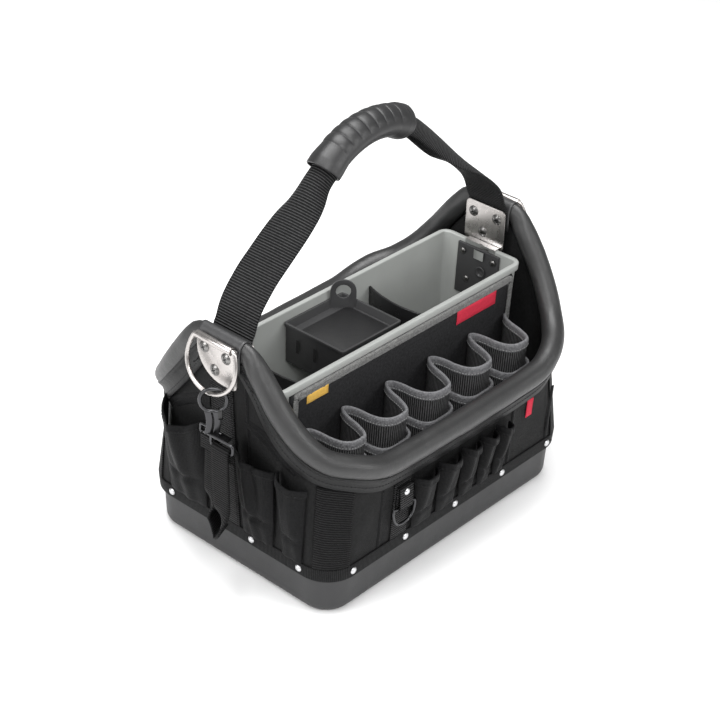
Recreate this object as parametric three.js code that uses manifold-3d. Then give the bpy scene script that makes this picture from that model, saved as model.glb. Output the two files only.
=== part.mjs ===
// Open top tool tote: a moulded tray with cloth walls, a padded rim, a lift-out box and a carry strap.
// Millimetres, +Z up. The origin is the middle of the tray's underside, X runs along the bag,
// the front pockets face -Y and the end with the snap hook faces -X.
import * as THREE from 'three';
import { mergeVertices } from 'three/addons/utils/BufferGeometryUtils.js';
import Module from 'manifold-3d';

const wasm = await Module();
wasm.setup();

// Fits
const gap = 0.3;                // between pieces that lie on each other
const cloth = 2;                // one layer of bag cloth
const webbing = 2;              // one layer of heavy webbing

// Bag body
const bagLength = 376;          // over the cloth at the hem
const bagWidth = 258;
const hemCorner = 34;           // corner radius in plan at the hem
const hemLow = 44.5;            // lower edge of the hem strip
const hemHeight = 16;
const hemThickness = 1.7;
const endFlare = 0.061;         // how far the end walls lean out for each mm of height
const sideFlare = 0.05;         // and the front and back

// Padded rim
const rimDip = 157;             // height of the tube's centre along the front and back
const rimPeak = 276;            // and at the two ends, where the strap is held
const rimCorner = 78;           // corner radius in plan along the rim
const rimRadius = 12;
const rimPinch = 7.5;           // half thickness where the plates clamp it
const rimTail = 14;             // stitched flange that hangs down outside the wall
const rimTailThickness = 1.8;
const sleeveWidth = 57;
const sleeveThickness = 1.2;
const sleeveDrop = 18;

// Moulded tray
const trayWall = 3;
const trayFloor = 4;
const trayTaper = 2.5;          // draw of the tray's walls
const trayFillet = 11;
const trayTop = 60;

// Carry strap and grip
const strapWidth = 50.8;
const strapFoot = 66;           // where the webbing starts inside the bag
const gripHeight = 437;         // top of the circle that the grip follows
const gripChord = 56;           // half the distance between its ends
const gripRise = 18;            // the arch's rise over its ends
const gripShift = -5;           // middle of the circle along X
const gripSlide = 8;            // degrees that the grip has slid round it towards the hook end
const gripWide = 37;
const gripDeep = 34;
const gripSocket = 7;

// End plates and rings
const plateThickness = 1.5;
const plateWide = 53;
const innerPlateHigh = 49;
const outerPlateHigh = 45;
const ringWire = 4.4;
const ringBar = 26;             // half the straight bar
const ringWide = 32;            // half the widest part of the bow
const ringBulge = 22;           // how far below the bar it is widest
const ringDepth = 51;
const ringRest = 12;            // degrees that it hangs out from the wall

// Snap hook and its webbing loop
const hookWire = 3.2;
const hookWide = 13;            // half the width of the jaw
const hookTurn = 48;            // degrees that the jaw is turned from the line across the ring's wire
const hookLong = 58;
const hookOffset = -9;          // along Y from the middle of the ring
const loopWide = 27;
const loopLong = 104;
const loopShift = 17.5;         // the loop's two layers lie this far apart along the bag's end
const eyeReach = 4.2;           // the two eyes stand this far out from the hook's middle

// Lift-out box
const boxEndRoom = 2;           // the box is this much shorter than the bag at each end
const boxLength = bagLength - 2 * boxEndRoom;
const boxWidth = 108.8;
const boxTop = 236;
const boxOffset = -2.5;         // the box stands a little towards the front
const boxWall = 2.6;
const boxCorner = 9;
const boxLip = 3;               // how far the lip stands out
const boxLipHigh = 8;
const boxTaper = 8;

// Cloth panels and bands of tool loops on the box
const panelInset = 14;          // from the ends of the box
const panelThickness = 4.5;
const panelLow = 62;
const bandTop = 183;
const bandLow = 88;
const bandDepth = 49;           // how far the loops stand out from the panel
const bandStartInset = 17;      // from the panel's end to the first crease
const bandEndInset = 11;        // and from its other end to the last
const lowerBandDrop = 32;
const yellowTagInset = 35;      // from the panel's end to the middle of each tag
const yellowTagDrop = 20.5;     // and from the box's top
const yellowTagWide = 30;
const yellowTagHigh = 11;
const redTagInset = 61;
const redTagDrop = 24.5;
const redTagWide = 64;
const redTagHigh = 17;

// Parts bin, dividers and clip plate in the box
const binLength = 88;
const binWidth = 82;
const binHigh = 45;
const binTop = 226;
const binPlace = -30.5;         // along X
const binWall = 2.4;
const hangerWide = 27;
const hangerHigh = 34;          // from the floor of the bin's tray
const hangerRing = 5.5;
const dividerThickness = 2.6;
const dividerTop = 216;
const dividerLow = 120;
const dividerBow = 9;           // how far each divider is bowed towards the hook end
const dividerLeftInset = 58;    // from the box's left end
const dividerRightInset = 130;  // and from its right end
const clipPlateWide = 56;
const clipPlateHigh = 60;
const clipPlateThickness = 3;

// Outside pockets. Each has its two edges across its side of the bag, the height of its mouth, how
// far it stands out there, how much its far edge rises, and the share of its width where it folds.
const pocketFoot = 61;          // just above the hem strip
const rowEdges = [-76, -38, -2, 28, 54, 78];
const rowPocket = { top: 126, bulge: 14, lift: -6, fold: 0.3, columns: 8 };
const backPockets = [
  { name: 'back_pocket_left', from: -100, to: -8, top: 126, bulge: 13, lift: 0, fold: 0.5, columns: 10 },
  { name: 'back_pocket_right', from: 8, to: 100, top: 126, bulge: 13, lift: 0, fold: 0.5, columns: 10 },
];
const endPockets = [
  { name: 'wide_pocket', from: -94, to: -30, top: 150, bulge: 20, lift: 24, fold: 0.55, columns: 10 },
  { name: 'hook_pocket', from: 12, to: 62, top: 168, bulge: 14, lift: -12, fold: 0.45, columns: 10 },
  { name: 'slim_pocket', from: 68, to: 97, top: 162, bulge: 13, lift: -14, fold: 0.5, columns: 8 },
];

// Small ring and tag on the front
const smallRingInset = 14;      // to the left of the row of slim pockets
const smallRingZ = 101;
const smallWire = 3;
const sideTagInset = 35;        // to the right of the row
const sideTagLow = 108;
const sideTagHigh = 22;
const sideTagWide = 10;

const group = new THREE.Group();

function place(name, geometry, color, roughness, metalness = 0) {
  const mesh = new THREE.Mesh(geometry, new THREE.MeshStandardMaterial({ color, roughness, metalness }));
  mesh.name = name;
  group.add(mesh);
  return mesh;
}

// Colours from the photograph
const black = 0x1c1c1e;
const charcoal = 0x2a2a2c;
const trayGrey = 0x4a4b4e;
const boxGrey = 0xa9aba8;
const nickel = 0xc9c5bf;
const gunmetal = 0x6d6e72;

const mix = (a, b, t) => a + (b - a) * t;
const clamp01 = (t) => Math.min(1, Math.max(0, t));
const ease = (t) => { const c = clamp01(t); return c * c * (3 - 2 * c); };
const vector = (x, y, z) => new THREE.Vector3(x, y, z);

// Mesh from points and faces, with shared points merged
function meshOf(points, faces) {
  const geometry = new THREE.BufferGeometry();
  geometry.setAttribute('position', new THREE.Float32BufferAttribute(points.flatMap((p) => [p.x, p.y, p.z]), 3));
  geometry.setIndex(faces.flat());
  return mergeVertices(geometry, 1e-4);
}

// Turns a closed mesh so that its faces point out
function outward(geometry) {
  const p = geometry.attributes.position;
  const index = geometry.index.array;
  let volume = 0;
  const [a, b, c] = [vector(), vector(), vector()];
  for (let i = 0; i < index.length; i += 3) {
    a.fromBufferAttribute(p, index[i]);
    b.fromBufferAttribute(p, index[i + 1]);
    c.fromBufferAttribute(p, index[i + 2]);
    volume += a.dot(b.cross(c));
  }
  if (volume < 0) {
    for (let i = 0; i < index.length; i += 3) {
      [index[i + 1], index[i + 2]] = [index[i + 2], index[i + 1]];
    }
  }
  return geometry;
}

// Closed solid through rings of points; the first and last ring are capped unless it loops
function loft(rings, loops = false) {
  const points = rings.flat();
  const n = rings[0].length;
  const faces = [];
  const last = loops ? rings.length : rings.length - 1;
  for (let r = 0; r < last; r += 1) {
    const next = (r + 1) % rings.length;
    for (let i = 0; i < n; i += 1) {
      const j = (i + 1) % n;
      const [p, q, s, t] = [r * n + i, r * n + j, next * n + j, next * n + i];
      faces.push([p, q, s], [p, s, t]);
    }
  }
  if (!loops) {
    for (const [ring, flip] of [[0, true], [rings.length - 1, false]]) {
      const centre = rings[ring].reduce((sum, p) => sum.add(p), vector(0, 0, 0)).divideScalar(n);
      const c = points.push(centre) - 1;
      for (let i = 0; i < n; i += 1) {
        const [p, q] = [ring * n + i, ring * n + ((i + 1) % n)];
        faces.push(flip ? [c, q, p] : [c, p, q]);
      }
    }
  }
  return outward(meshOf(points, faces));
}

// Solid between two sheets of points with the same rows and columns
function between(outer, inner) {
  const rows = outer.length;
  const columns = outer[0].length;
  const points = [...outer.flat(), ...inner.flat()];
  const half = rows * columns;
  const faces = [];
  const quad = (a, b, c, d) => faces.push([a, b, c], [a, c, d]);
  for (let r = 0; r < rows - 1; r += 1) {
    for (let c = 0; c < columns - 1; c += 1) {
      const a = r * columns + c;
      quad(a, a + 1, a + columns + 1, a + columns);
      quad(half + a, half + a + columns, half + a + columns + 1, half + a + 1);
    }
  }
  for (let c = 0; c < columns - 1; c += 1) {
    const top = (rows - 1) * columns + c;
    quad(c, half + c, half + c + 1, c + 1);
    quad(top, top + 1, half + top + 1, half + top);
  }
  for (let r = 0; r < rows - 1; r += 1) {
    const left = r * columns;
    const right = left + columns - 1;
    quad(left, left + columns, half + left + columns, half + left);
    quad(right, half + right, half + right + columns, right + columns);
  }
  return outward(meshOf(points, faces));
}

// Flat band of a given thickness whose middle follows a path; side is the direction of its width
function ribbon(path, side, width, thickness) {
  const outer = [];
  const inner = [];
  const across = side.clone().normalize();
  path.forEach((point, i) => {
    const before = path[Math.max(0, i - 1)];
    const after = path[Math.min(path.length - 1, i + 1)];
    const normal = after.clone().sub(before).cross(across).normalize().multiplyScalar(thickness / 2);
    const row = (sign) => [-0.5, 0.5].map((share) => point.clone()
      .addScaledVector(normal, sign).addScaledVector(across, share * width));
    outer.push(row(1));
    inner.push(row(-1));
  });
  return between(outer, inner);
}

// Round bar along a path of points
function bar(path, radius, sides, closed = false) {
  const rings = path.map((point, i) => {
    const count = path.length;
    const before = path[closed ? (i + count - 1) % count : Math.max(0, i - 1)];
    const after = path[closed ? (i + 1) % count : Math.min(count - 1, i + 1)];
    const along = after.clone().sub(before).normalize();
    const reference = Math.abs(along.x) > 0.9 ? vector(0, 1, 0) : vector(1, 0, 0);
    const u = reference.clone().cross(along).normalize();
    const v = along.clone().cross(u);
    return Array.from({ length: sides }, (_, k) => {
      const angle = (2 * Math.PI * k) / sides;
      return point.clone().addScaledVector(u, radius * Math.cos(angle)).addScaledVector(v, radius * Math.sin(angle));
    });
  });
  return loft(rings, closed);
}

function toSolid(geometry) {
  const bare = geometry.index ? geometry.clone() : geometry.clone();
  bare.deleteAttribute('normal');
  bare.deleteAttribute('uv');
  const merged = mergeVertices(bare, 1e-4);
  return new wasm.Manifold(new wasm.Mesh({
    numProp: 3,
    vertProperties: new Float32Array(merged.attributes.position.array),
    triVerts: new Uint32Array(merged.index.array),
  }));
}

function fromSolid(solid) {
  const mesh = solid.getMesh();
  const geometry = new THREE.BufferGeometry();
  geometry.setAttribute('position', new THREE.BufferAttribute(new Float32Array(mesh.vertProperties), 3));
  geometry.setIndex(new THREE.BufferAttribute(new Uint32Array(mesh.triVerts), 1));
  return geometry;
}

// Height or width read from a table of shares by a smooth curve
function smooth(rows, key, value, at) {
  const last = rows.length - 1;
  const x = clamp01(at);
  let i = 0;
  while (i < last - 1 && rows[i + 1][key] < x) i += 1;
  const slope = (k) => {
    const a = rows[Math.max(0, k - 1)];
    const b = rows[Math.min(last, k + 1)];
    return (b[value] - a[value]) / (b[key] - a[key]);
  };
  const [p, q] = [rows[i], rows[i + 1]];
  const span = q[key] - p[key];
  const t = (x - p[key]) / span;
  const [t2, t3] = [t * t, t * t * t];
  return (2 * t3 - 3 * t2 + 1) * p[value] + (t3 - 2 * t2 + t) * span * slope(i)
    + (3 * t2 - 2 * t3) * q[value] + (t3 - t2) * span * slope(i + 1);
}

// Stations round the bag. Each quarter has some on the end's straight part, some round the corner
// and some on the long side. Station 0 is the middle of the +X end, then come the back, the -X end
// and the front.
const endShares = [0, 0.5, 0.66, 0.83];
const cornerSteps = 8;
const sideSteps = 4;
const cornerFrom = endShares.length;
const cornerTo = cornerFrom + cornerSteps;
const perQuarter = cornerTo + sideSteps;
const stations = 4 * perQuarter;

function quarterPoint(k, halfX, halfY, corner) {
  if (k < cornerFrom) return { x: halfX, y: endShares[k] * (halfY - corner), nx: 1, ny: 0 };
  if (k > cornerTo) {
    return { x: ((perQuarter - k) / sideSteps) * (halfX - corner), y: halfY, nx: 0, ny: 1 };
  }
  const angle = ((k - cornerFrom) / cornerSteps) * (Math.PI / 2);
  const [c, s] = [Math.cos(angle), Math.sin(angle)];
  return { x: halfX - corner + corner * c, y: halfY - corner + corner * s, nx: c, ny: s };
}

function station(i) {
  const k = ((i % stations) + stations) % stations;
  const side = Math.floor(k / perQuarter);
  const along = k % perQuarter;
  const [sx, sy] = [[1, 1], [-1, 1], [-1, -1], [1, -1]][side];
  return { k: side % 2 === 0 ? along : perQuarter - along, sx, sy };
}

// Index of the k-th station of a quarter, counted from the middle of its end
const stationOf = (side, k) => (side % 2 === 0 ? side * perQuarter + k : (side + 1) * perQuarter - k);

function outline(i, halfX, halfY, corner) {
  const { k, sx, sy } = station(i);
  const q = quarterPoint(k, halfX, halfY, corner);
  return { x: sx * q.x, y: sy * q.y, nx: sx * q.nx, ny: sy * q.ny };
}

function ringAt(halfX, halfY, corner, z, step = 1) {
  const ring = [];
  for (let i = 0; i < stations; i += step) {
    const p = outline(i, halfX, halfY, corner);
    ring.push(vector(p.x, p.y, z));
  }
  return ring;
}

// The rim falls from its peak at the ends to its dip along the front and back
const rimRows = [
  { along: 0, height: 1, thickness: 0 },
  { along: 0.1, height: 0.99, thickness: 0 },
  { along: 0.142, height: 0.882, thickness: 0.8 },
  { along: 0.189, height: 0.73, thickness: 1 },
  { along: 0.232, height: 0.588, thickness: 1 },
  { along: 0.294, height: 0.403, thickness: 1 },
  { along: 0.345, height: 0.28, thickness: 1 },
  { along: 0.398, height: 0.195, thickness: 1 },
  { along: 0.48, height: 0.13, thickness: 1 },
  { along: 0.589, height: 0.04, thickness: 1 },
  { along: 0.7, height: 0.015, thickness: 1 },
  { along: 1, height: 0, thickness: 1 },
];

const halfLength = (z) => bagLength / 2 + endFlare * (z - hemLow);
const halfWidth = (z) => bagWidth / 2 + sideFlare * (z - hemLow);

// Share of the way from the middle of an end to the middle of the front, along the rim
function rimShare(i) {
  const middle = (rimDip + rimPeak) / 2;
  const [halfX, halfY] = [halfLength(middle), halfWidth(middle)];
  const arc = (rimCorner * Math.PI) / 2;
  const total = halfY - rimCorner + arc + halfX - rimCorner;
  const { k } = station(i);
  const q = quarterPoint(k, halfX, halfY, rimCorner);
  if (k < cornerFrom) return q.y / total;
  if (k > cornerTo) return 1 - q.x / total;
  return (halfY - rimCorner + (arc * (k - cornerFrom)) / cornerSteps) / total;
}

const rimZ = (i) => mix(rimDip, rimPeak, smooth(rimRows, 'along', 'height', rimShare(i)));
const rimHalfThickness = (i) => mix(rimPinch, rimRadius, clamp01(smooth(rimRows, 'along', 'thickness', rimShare(i))));
const tailRoom = 30;            // the wall has the rim's own corner radius this far below the tube

// Point of the wall's outer face at a station and height, moved out by a distance
function wallAt(i, z, out = 0) {
  const corner = mix(hemCorner, rimCorner, clamp01((z - trayTop) / (rimZ(i) - tailRoom - trayTop)));
  const p = outline(i, halfLength(z), halfWidth(z), corner);
  return vector(p.x + p.nx * out, p.y + p.ny * out, z);
}

// Centre of the rim tube with the directions of its section
function rimFrame(i) {
  const at = (k) => wallAt(k, rimZ(k), -cloth / 2);
  const p = outline(i, halfLength(rimZ(i)), halfWidth(rimZ(i)), rimCorner);
  const out = vector(p.nx, p.ny, 0);
  const along = at(i + 1).sub(at(i - 1)).normalize();
  const up = along.clone().cross(out).normalize();
  if (up.z < 0) up.negate();
  return { centre: at(i), out, up, steep: 1 / Math.max(0.3, up.z) };
}

const wallTop = (i) => rimZ(i) - (rimRadius + gap) * rimFrame(i).steep - 2.5;

// Moulded tray: an open cup with a rounded lower edge
const trayHalfX = bagLength / 2 - cloth - gap;
const trayHalfY = bagWidth / 2 - cloth - gap;

function trayTapered(z) {
  return trayTaper * (1 - z / trayTop);
}

function trayRing(z, inset) {
  const t = trayTapered(z) + inset;
  return ringAt(trayHalfX - t, trayHalfY - t, Math.max(2, hemCorner - cloth - t), z);
}

{
  const rings = [];
  const bend = (k) => (k / 3) * (Math.PI / 2);
  for (let k = 0; k <= 3; k += 1) {
    const z = trayFillet * (1 - Math.cos(bend(k)));
    rings.push(trayRing(z, trayFillet * (1 - Math.sin(bend(k)))));
  }
  rings.push(trayRing(trayTop, 0));
  rings.push(trayRing(trayTop, trayWall));
  rings.push(trayRing(trayFillet, trayWall));
  rings.push(trayRing(trayFloor, trayFillet));
  place('base_tray', loft(rings), trayGrey, 0.62);
}

// Cloth wall: one shell round the bag, from inside the hem strip up to the rim tube
{
  const foot = trayTop + gap;
  const rings = [];
  for (let i = 0; i < stations; i += 1) {
    const levels = [hemLow + gap, foot, Math.min(rimZ(i) - tailRoom, wallTop(i) - 3), wallTop(i)];
    rings.push([
      ...levels.map((z) => wallAt(i, z)),
      ...levels.reverse().map((z) => wallAt(i, z, -cloth)),
    ]);
  }
  place('body_wall', loft(rings, true), black, 0.9);
}

// Hem strip: binding riveted round the foot of the walls
{
  const rings = [];
  for (let i = 0; i < stations; i += 1) {
    rings.push([
      wallAt(i, hemLow, gap),
      wallAt(i, hemLow, gap + hemThickness),
      wallAt(i, hemLow + hemHeight, gap + hemThickness),
      wallAt(i, hemLow + hemHeight, gap),
    ]);
  }
  place('hem_strip', loft(rings, true), charcoal, 0.8);
}

// Padded rim: a foam tube with a stitched flange that hangs outside the wall
{
  const rings = [];
  const tailIn = cloth / 2 + gap + 0.1;
  const tailOut = tailIn + rimTailThickness;
  const roundSides = 8;
  for (let i = 0; i < stations; i += 1) {
    const { centre, out, up } = rimFrame(i);
    const half = rimHalfThickness(i);
    const low = (n) => -rimRadius * Math.sqrt(1 - (n / half) ** 2);
    const at = (n, u) => centre.clone().addScaledVector(out, n).addScaledVector(up, u);
    const first = Math.asin(low(tailOut) / rimRadius);
    const lastAngle = 1.44 * Math.PI;
    const ring = [];
    for (let k = 0; k <= roundSides; k += 1) {
      const angle = mix(first, lastAngle, k / roundSides);
      ring.push(at(half * Math.cos(angle), rimRadius * Math.sin(angle)));
    }
    ring.push(at(tailIn, low(tailIn)));
    ring.push(at(tailIn, -rimRadius - rimTail));
    ring.push(at(tailOut, -rimRadius - rimTail));
    rings.push(ring);
  }
  place('rim_tube', loft(rings, true), black, 0.55);
}

// What is held at the two ends of the bag; end is -1 for the hook end and +1 for the other
const rimEnd = halfLength(rimPeak) - cloth / 2;
const sleeveHalf = rimPinch + gap + sleeveThickness;
const strapEndX = rimEnd - sleeveHalf - gap - webbing / 2;
const innerPlateX = strapEndX - webbing / 2 - gap - plateThickness;
const outerPlateX = rimEnd + sleeveHalf + gap;
const ringAxisX = outerPlateX + plateThickness + ringWire / 2 + 0.4;
const ringAxisZ = rimPeak + 6.5;
const endName = (end) => (end < 0 ? 'left' : 'right');

// Vinyl sleeve over the rim between the plates
for (const end of [-1, 1]) {
  const middle = rimPinch + gap + sleeveThickness / 2;
  const high = rimRadius + gap + sleeveThickness / 2;
  const path = [vector(end * (rimEnd + middle), 0, rimPeak - sleeveDrop)];
  for (let k = 0; k <= 8; k += 1) {
    const angle = (k / 8) * Math.PI;
    path.push(vector(end * (rimEnd + middle * Math.cos(angle)), 0, rimPeak + high * Math.sin(angle)));
  }
  path.push(vector(end * (rimEnd - middle), 0, rimPeak - sleeveDrop));
  place(`rim_sleeve_${endName(end)}`, ribbon(path, vector(0, 1, 0), sleeveWidth, sleeveThickness), black, 0.5);
}

// Grip: a rubber arch whose ends are open sockets for the strap
const gripRadius = (gripChord ** 2 + gripRise ** 2) / (2 * gripRise);
const gripHalfAngle = Math.asin(gripChord / gripRadius);
const gripMiddle = -THREE.MathUtils.degToRad(gripSlide);

function gripAt(angle, radius = gripRadius) {
  return vector(gripShift + radius * Math.sin(angle), 0, gripHeight - gripRadius + radius * Math.cos(angle));
}

{
  const sides = 14;
  const half = [
    { along: 1, size: 0.91, socket: 1, under: 0.91 },
    { along: 1, size: 0.94, socket: 0, under: 0.94 },
    { along: 1, size: 0.99, socket: 0, under: 0.99 },
    { along: 0.95, size: 1.06, socket: 0, under: 1.04 },
    { along: 0.87, size: 1.0, socket: 0, under: 0.98 },
  ];
  for (let k = 0; k < 7; k += 1) {
    half.push({ along: mix(0.8, 0, k / 7), size: k % 2 === 0 ? 0.91 : 1, socket: 0, under: 0.95 });
  }
  const rows = [
    ...half.map((row) => ({ ...row, along: -row.along })),
    { along: 0, size: 1, socket: 0, under: 0.95 },
    ...half.reverse(),
  ];
  const rings = rows.map((row) => {
    const depth = Math.asin(gripSocket / gripRadius) * row.socket * Math.sign(row.along);
    const angle = gripMiddle + row.along * gripHalfAngle - depth;
    const radial = gripAt(angle).sub(gripAt(angle, 0)).normalize();
    const ring = [];
    for (let k = 0; k < sides; k += 1) {
      const turn = (2 * Math.PI * k) / sides;
      const size = Math.sin(turn) > 0.1 ? row.size : row.under;
      ring.push(gripAt(angle)
        .addScaledVector(vector(0, 1, 0), size * (gripWide / 2) * Math.cos(turn))
        .addScaledVector(radial, size * (gripDeep / 2) * Math.sin(turn)));
    }
    return ring;
  });
  place('grip', loft(rings), 0x3a3b3d, 0.65);
}

// Strap: heavy webbing from inside each end up to the grip, folded down the middle where it enters
const strapRows = [
  { reach: 0.97, rise: 0.103, foldLeft: 0, foldRight: 0 },
  { reach: 0.93, rise: 0.199, foldLeft: 0, foldRight: 0 },
  { reach: 0.874, rise: 0.28, foldLeft: 0, foldRight: 0.03 },
  { reach: 0.739, rise: 0.413, foldLeft: 0, foldRight: 0.15 },
  { reach: 0.6, rise: 0.52, foldLeft: 0.04, foldRight: 0.4 },
  { reach: 0.45, rise: 0.635, foldLeft: 0.12, foldRight: 0.75 },
  { reach: 0.326, rise: 0.738, foldLeft: 0.3, foldRight: 0.95 },
  { reach: 0.199, rise: 0.85, foldLeft: 0.65, foldRight: 1 },
  { reach: 0.09, rise: 0.94, foldLeft: 0.95, foldRight: 1 },
];
const foldBend = 2;             // how far each half of the webbing turns, in radians
const foldLift = 9.5;           // the folded ridge lies this far over the strap's middle

// One section of the strap: flat webbing, or webbing folded down on both sides of a rounded ridge
function strapSection(point, along, fold, end) {
  const across = vector(0, 1, 0);
  const down = across.clone().cross(along).normalize();
  if (down.dot(vector(-end, 0, -1)) < 0) down.negate();
  const steps = 3;
  const bend = Math.max(0.001, fold * foldBend);
  const reach = strapWidth / 2 / bend;
  const outer = [];
  const inner = [];
  for (let k = -steps; k <= steps; k += 1) {
    const angle = (k / steps) * bend;
    const middle = point.clone()
      .addScaledVector(across, reach * Math.sin(angle))
      .addScaledVector(down, reach * (1 - Math.cos(angle)) - fold * foldLift);
    const normal = across.clone().multiplyScalar(Math.sin(angle)).addScaledVector(down, -Math.cos(angle));
    outer.push(middle.clone().addScaledVector(normal, webbing / 2));
    inner.push(middle.clone().addScaledVector(normal, -webbing / 2));
  }
  return { outer, inner };
}

for (const end of [-1, 1]) {
  const socket = gripAt(gripMiddle + end * gripHalfAngle);
  const entry = gripAt(gripMiddle + end * (gripHalfAngle - (gripSocket * 0.8) / gripRadius));
  const wallInside = (z) => halfLength(z) - cloth - gap - webbing / 2;
  const straight = (z) => ({ point: vector(end * Math.min(strapEndX, wallInside(z)), 0, z), fold: 0 });
  const path = [straight(strapFoot), straight(mix(strapFoot, rimPeak, 0.55)), straight(rimPeak - 46),
    { point: vector(end * strapEndX, 0, rimPeak - sleeveDrop), fold: 0 },
    { point: vector(end * strapEndX, 0, rimPeak + 6), fold: 0 }];
  for (const row of strapRows) {
    const point = vector(mix(socket.x, end * strapEndX, row.reach), 0, mix(rimPeak, socket.z, row.rise));
    path.push({ point, fold: end < 0 ? row.foldLeft : row.foldRight });
  }
  path.push({ point: entry, fold: 1 });
  const outer = [];
  const inner = [];
  path.forEach((row, i) => {
    const before = path[Math.max(0, i - 1)].point;
    const after = path[Math.min(path.length - 1, i + 1)].point;
    const section = strapSection(row.point, after.clone().sub(before).normalize(), row.fold, end);
    outer.push(section.outer);
    inner.push(section.inner);
  });
  place(`strap_${endName(end)}`, between(outer, inner), black, 0.85);
}

// Rounded flat plate in the plane of the bag's end, from a shape in Y and Z
function endPlate(shape, x, thickness, end) {
  const flat = new THREE.ExtrudeGeometry(shape, { depth: thickness, bevelEnabled: false, curveSegments: 5 });
  const turn = new THREE.Matrix4().makeBasis(vector(0, 1, 0), vector(0, 0, 1), vector(1, 0, 0));
  flat.applyMatrix4(turn);
  flat.translate(end < 0 ? -x - thickness : x, 0, 0);
  return flat;
}

function roundedShape(low, high, left, right, radii) {
  const [lowLeft, lowRight, highRight, highLeft] = radii;
  const shape = new THREE.Shape();
  shape.moveTo(left + lowLeft, low);
  shape.lineTo(right - lowRight, low);
  shape.absarc(right - lowRight, low + lowRight, lowRight, -Math.PI / 2, 0);
  shape.lineTo(right, high - highRight);
  shape.absarc(right - highRight, high - highRight, highRight, 0, Math.PI / 2);
  shape.lineTo(left + highLeft, high);
  shape.absarc(left + highLeft, high - highLeft, highLeft, Math.PI / 2, Math.PI);
  shape.lineTo(left, low + lowLeft);
  shape.absarc(left + lowLeft, low + lowLeft, lowLeft, Math.PI, 1.5 * Math.PI);
  return shape;
}

// Plate corners
const plateCorner = 6;
const outerPlateCut = 33;

for (const end of [-1, 1]) {
  const innerShape = roundedShape(rimPeak + 5 - innerPlateHigh, rimPeak + 5, -plateWide / 2, plateWide / 2,
    [plateCorner, plateCorner, plateCorner, plateCorner]);
  place(`inner_plate_${endName(end)}`, endPlate(innerShape, innerPlateX, plateThickness, end), nickel, 0.3, 1);

  // the outer plate has one large rounded corner, and its top is rolled round the ring's bar
  const [nearCut, farCut] = end < 0 ? [plateCorner, outerPlateCut] : [outerPlateCut, plateCorner];
  const outerShape = roundedShape(ringAxisZ - outerPlateHigh, ringAxisZ, -plateWide / 2, plateWide / 2,
    [nearCut, farCut, 0.5, 0.5]);
  const flat = toSolid(endPlate(outerShape, outerPlateX, plateThickness, end));
  const rollMiddle = ringWire / 2 + 0.4 + plateThickness / 2;
  const path = [];
  for (let k = 0; k <= 10; k += 1) {
    const angle = Math.PI - (k / 10) * Math.PI * 1.45;
    path.push(vector(end * (ringAxisX + rollMiddle * Math.cos(angle)), 0, ringAxisZ + rollMiddle * Math.sin(angle)));
  }
  const rollWide = 2 * ringBar - ringWire - 1;
  const roll = toSolid(ribbon(path, vector(0, 1, 0), rollWide, plateThickness));
  place(`outer_plate_${endName(end)}`, fromSolid(flat.add(roll)), nickel, 0.3, 1);
}

// Large ring: a straight bar held in the roll and a bow that hangs out from the wall
function ringPath(end) {
  const tilt = THREE.MathUtils.degToRad(ringRest);
  const flat = [];
  for (let k = 0; k < 3; k += 1) flat.push([mix(-ringBar, ringBar, k / 2) * 0.92, 0]);
  // the sides follow a tall ellipse down to the widest part, and the bow a flatter one below it
  const tall = ringBulge / Math.sqrt(1 - (ringBar / ringWide) ** 2);
  const start = Math.asin(ringBulge / tall);
  for (let k = 0; k < 4; k += 1) {
    const angle = start * (1 - k / 4);
    flat.push([ringWide * Math.cos(angle), ringBulge - tall * Math.sin(angle)]);
  }
  for (let k = 0; k <= 10; k += 1) {
    const angle = (k / 10) * Math.PI;
    flat.push([ringWide * Math.cos(angle), ringBulge + (ringDepth - ringBulge) * Math.sin(angle)]);
  }
  for (let k = 1; k <= 4; k += 1) {
    const angle = (start * k) / 4;
    flat.push([-ringWide * Math.cos(angle), ringBulge - tall * Math.sin(angle)]);
  }
  return flat.map(([y, depth]) => vector(
    end * (ringAxisX + depth * Math.sin(tilt)), y, ringAxisZ - depth * Math.cos(tilt)));
}

for (const end of [-1, 1]) {
  place(`d_ring_${endName(end)}`, bar(ringPath(end), ringWire / 2, 7, true), nickel, 0.25, 1);
}

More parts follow.
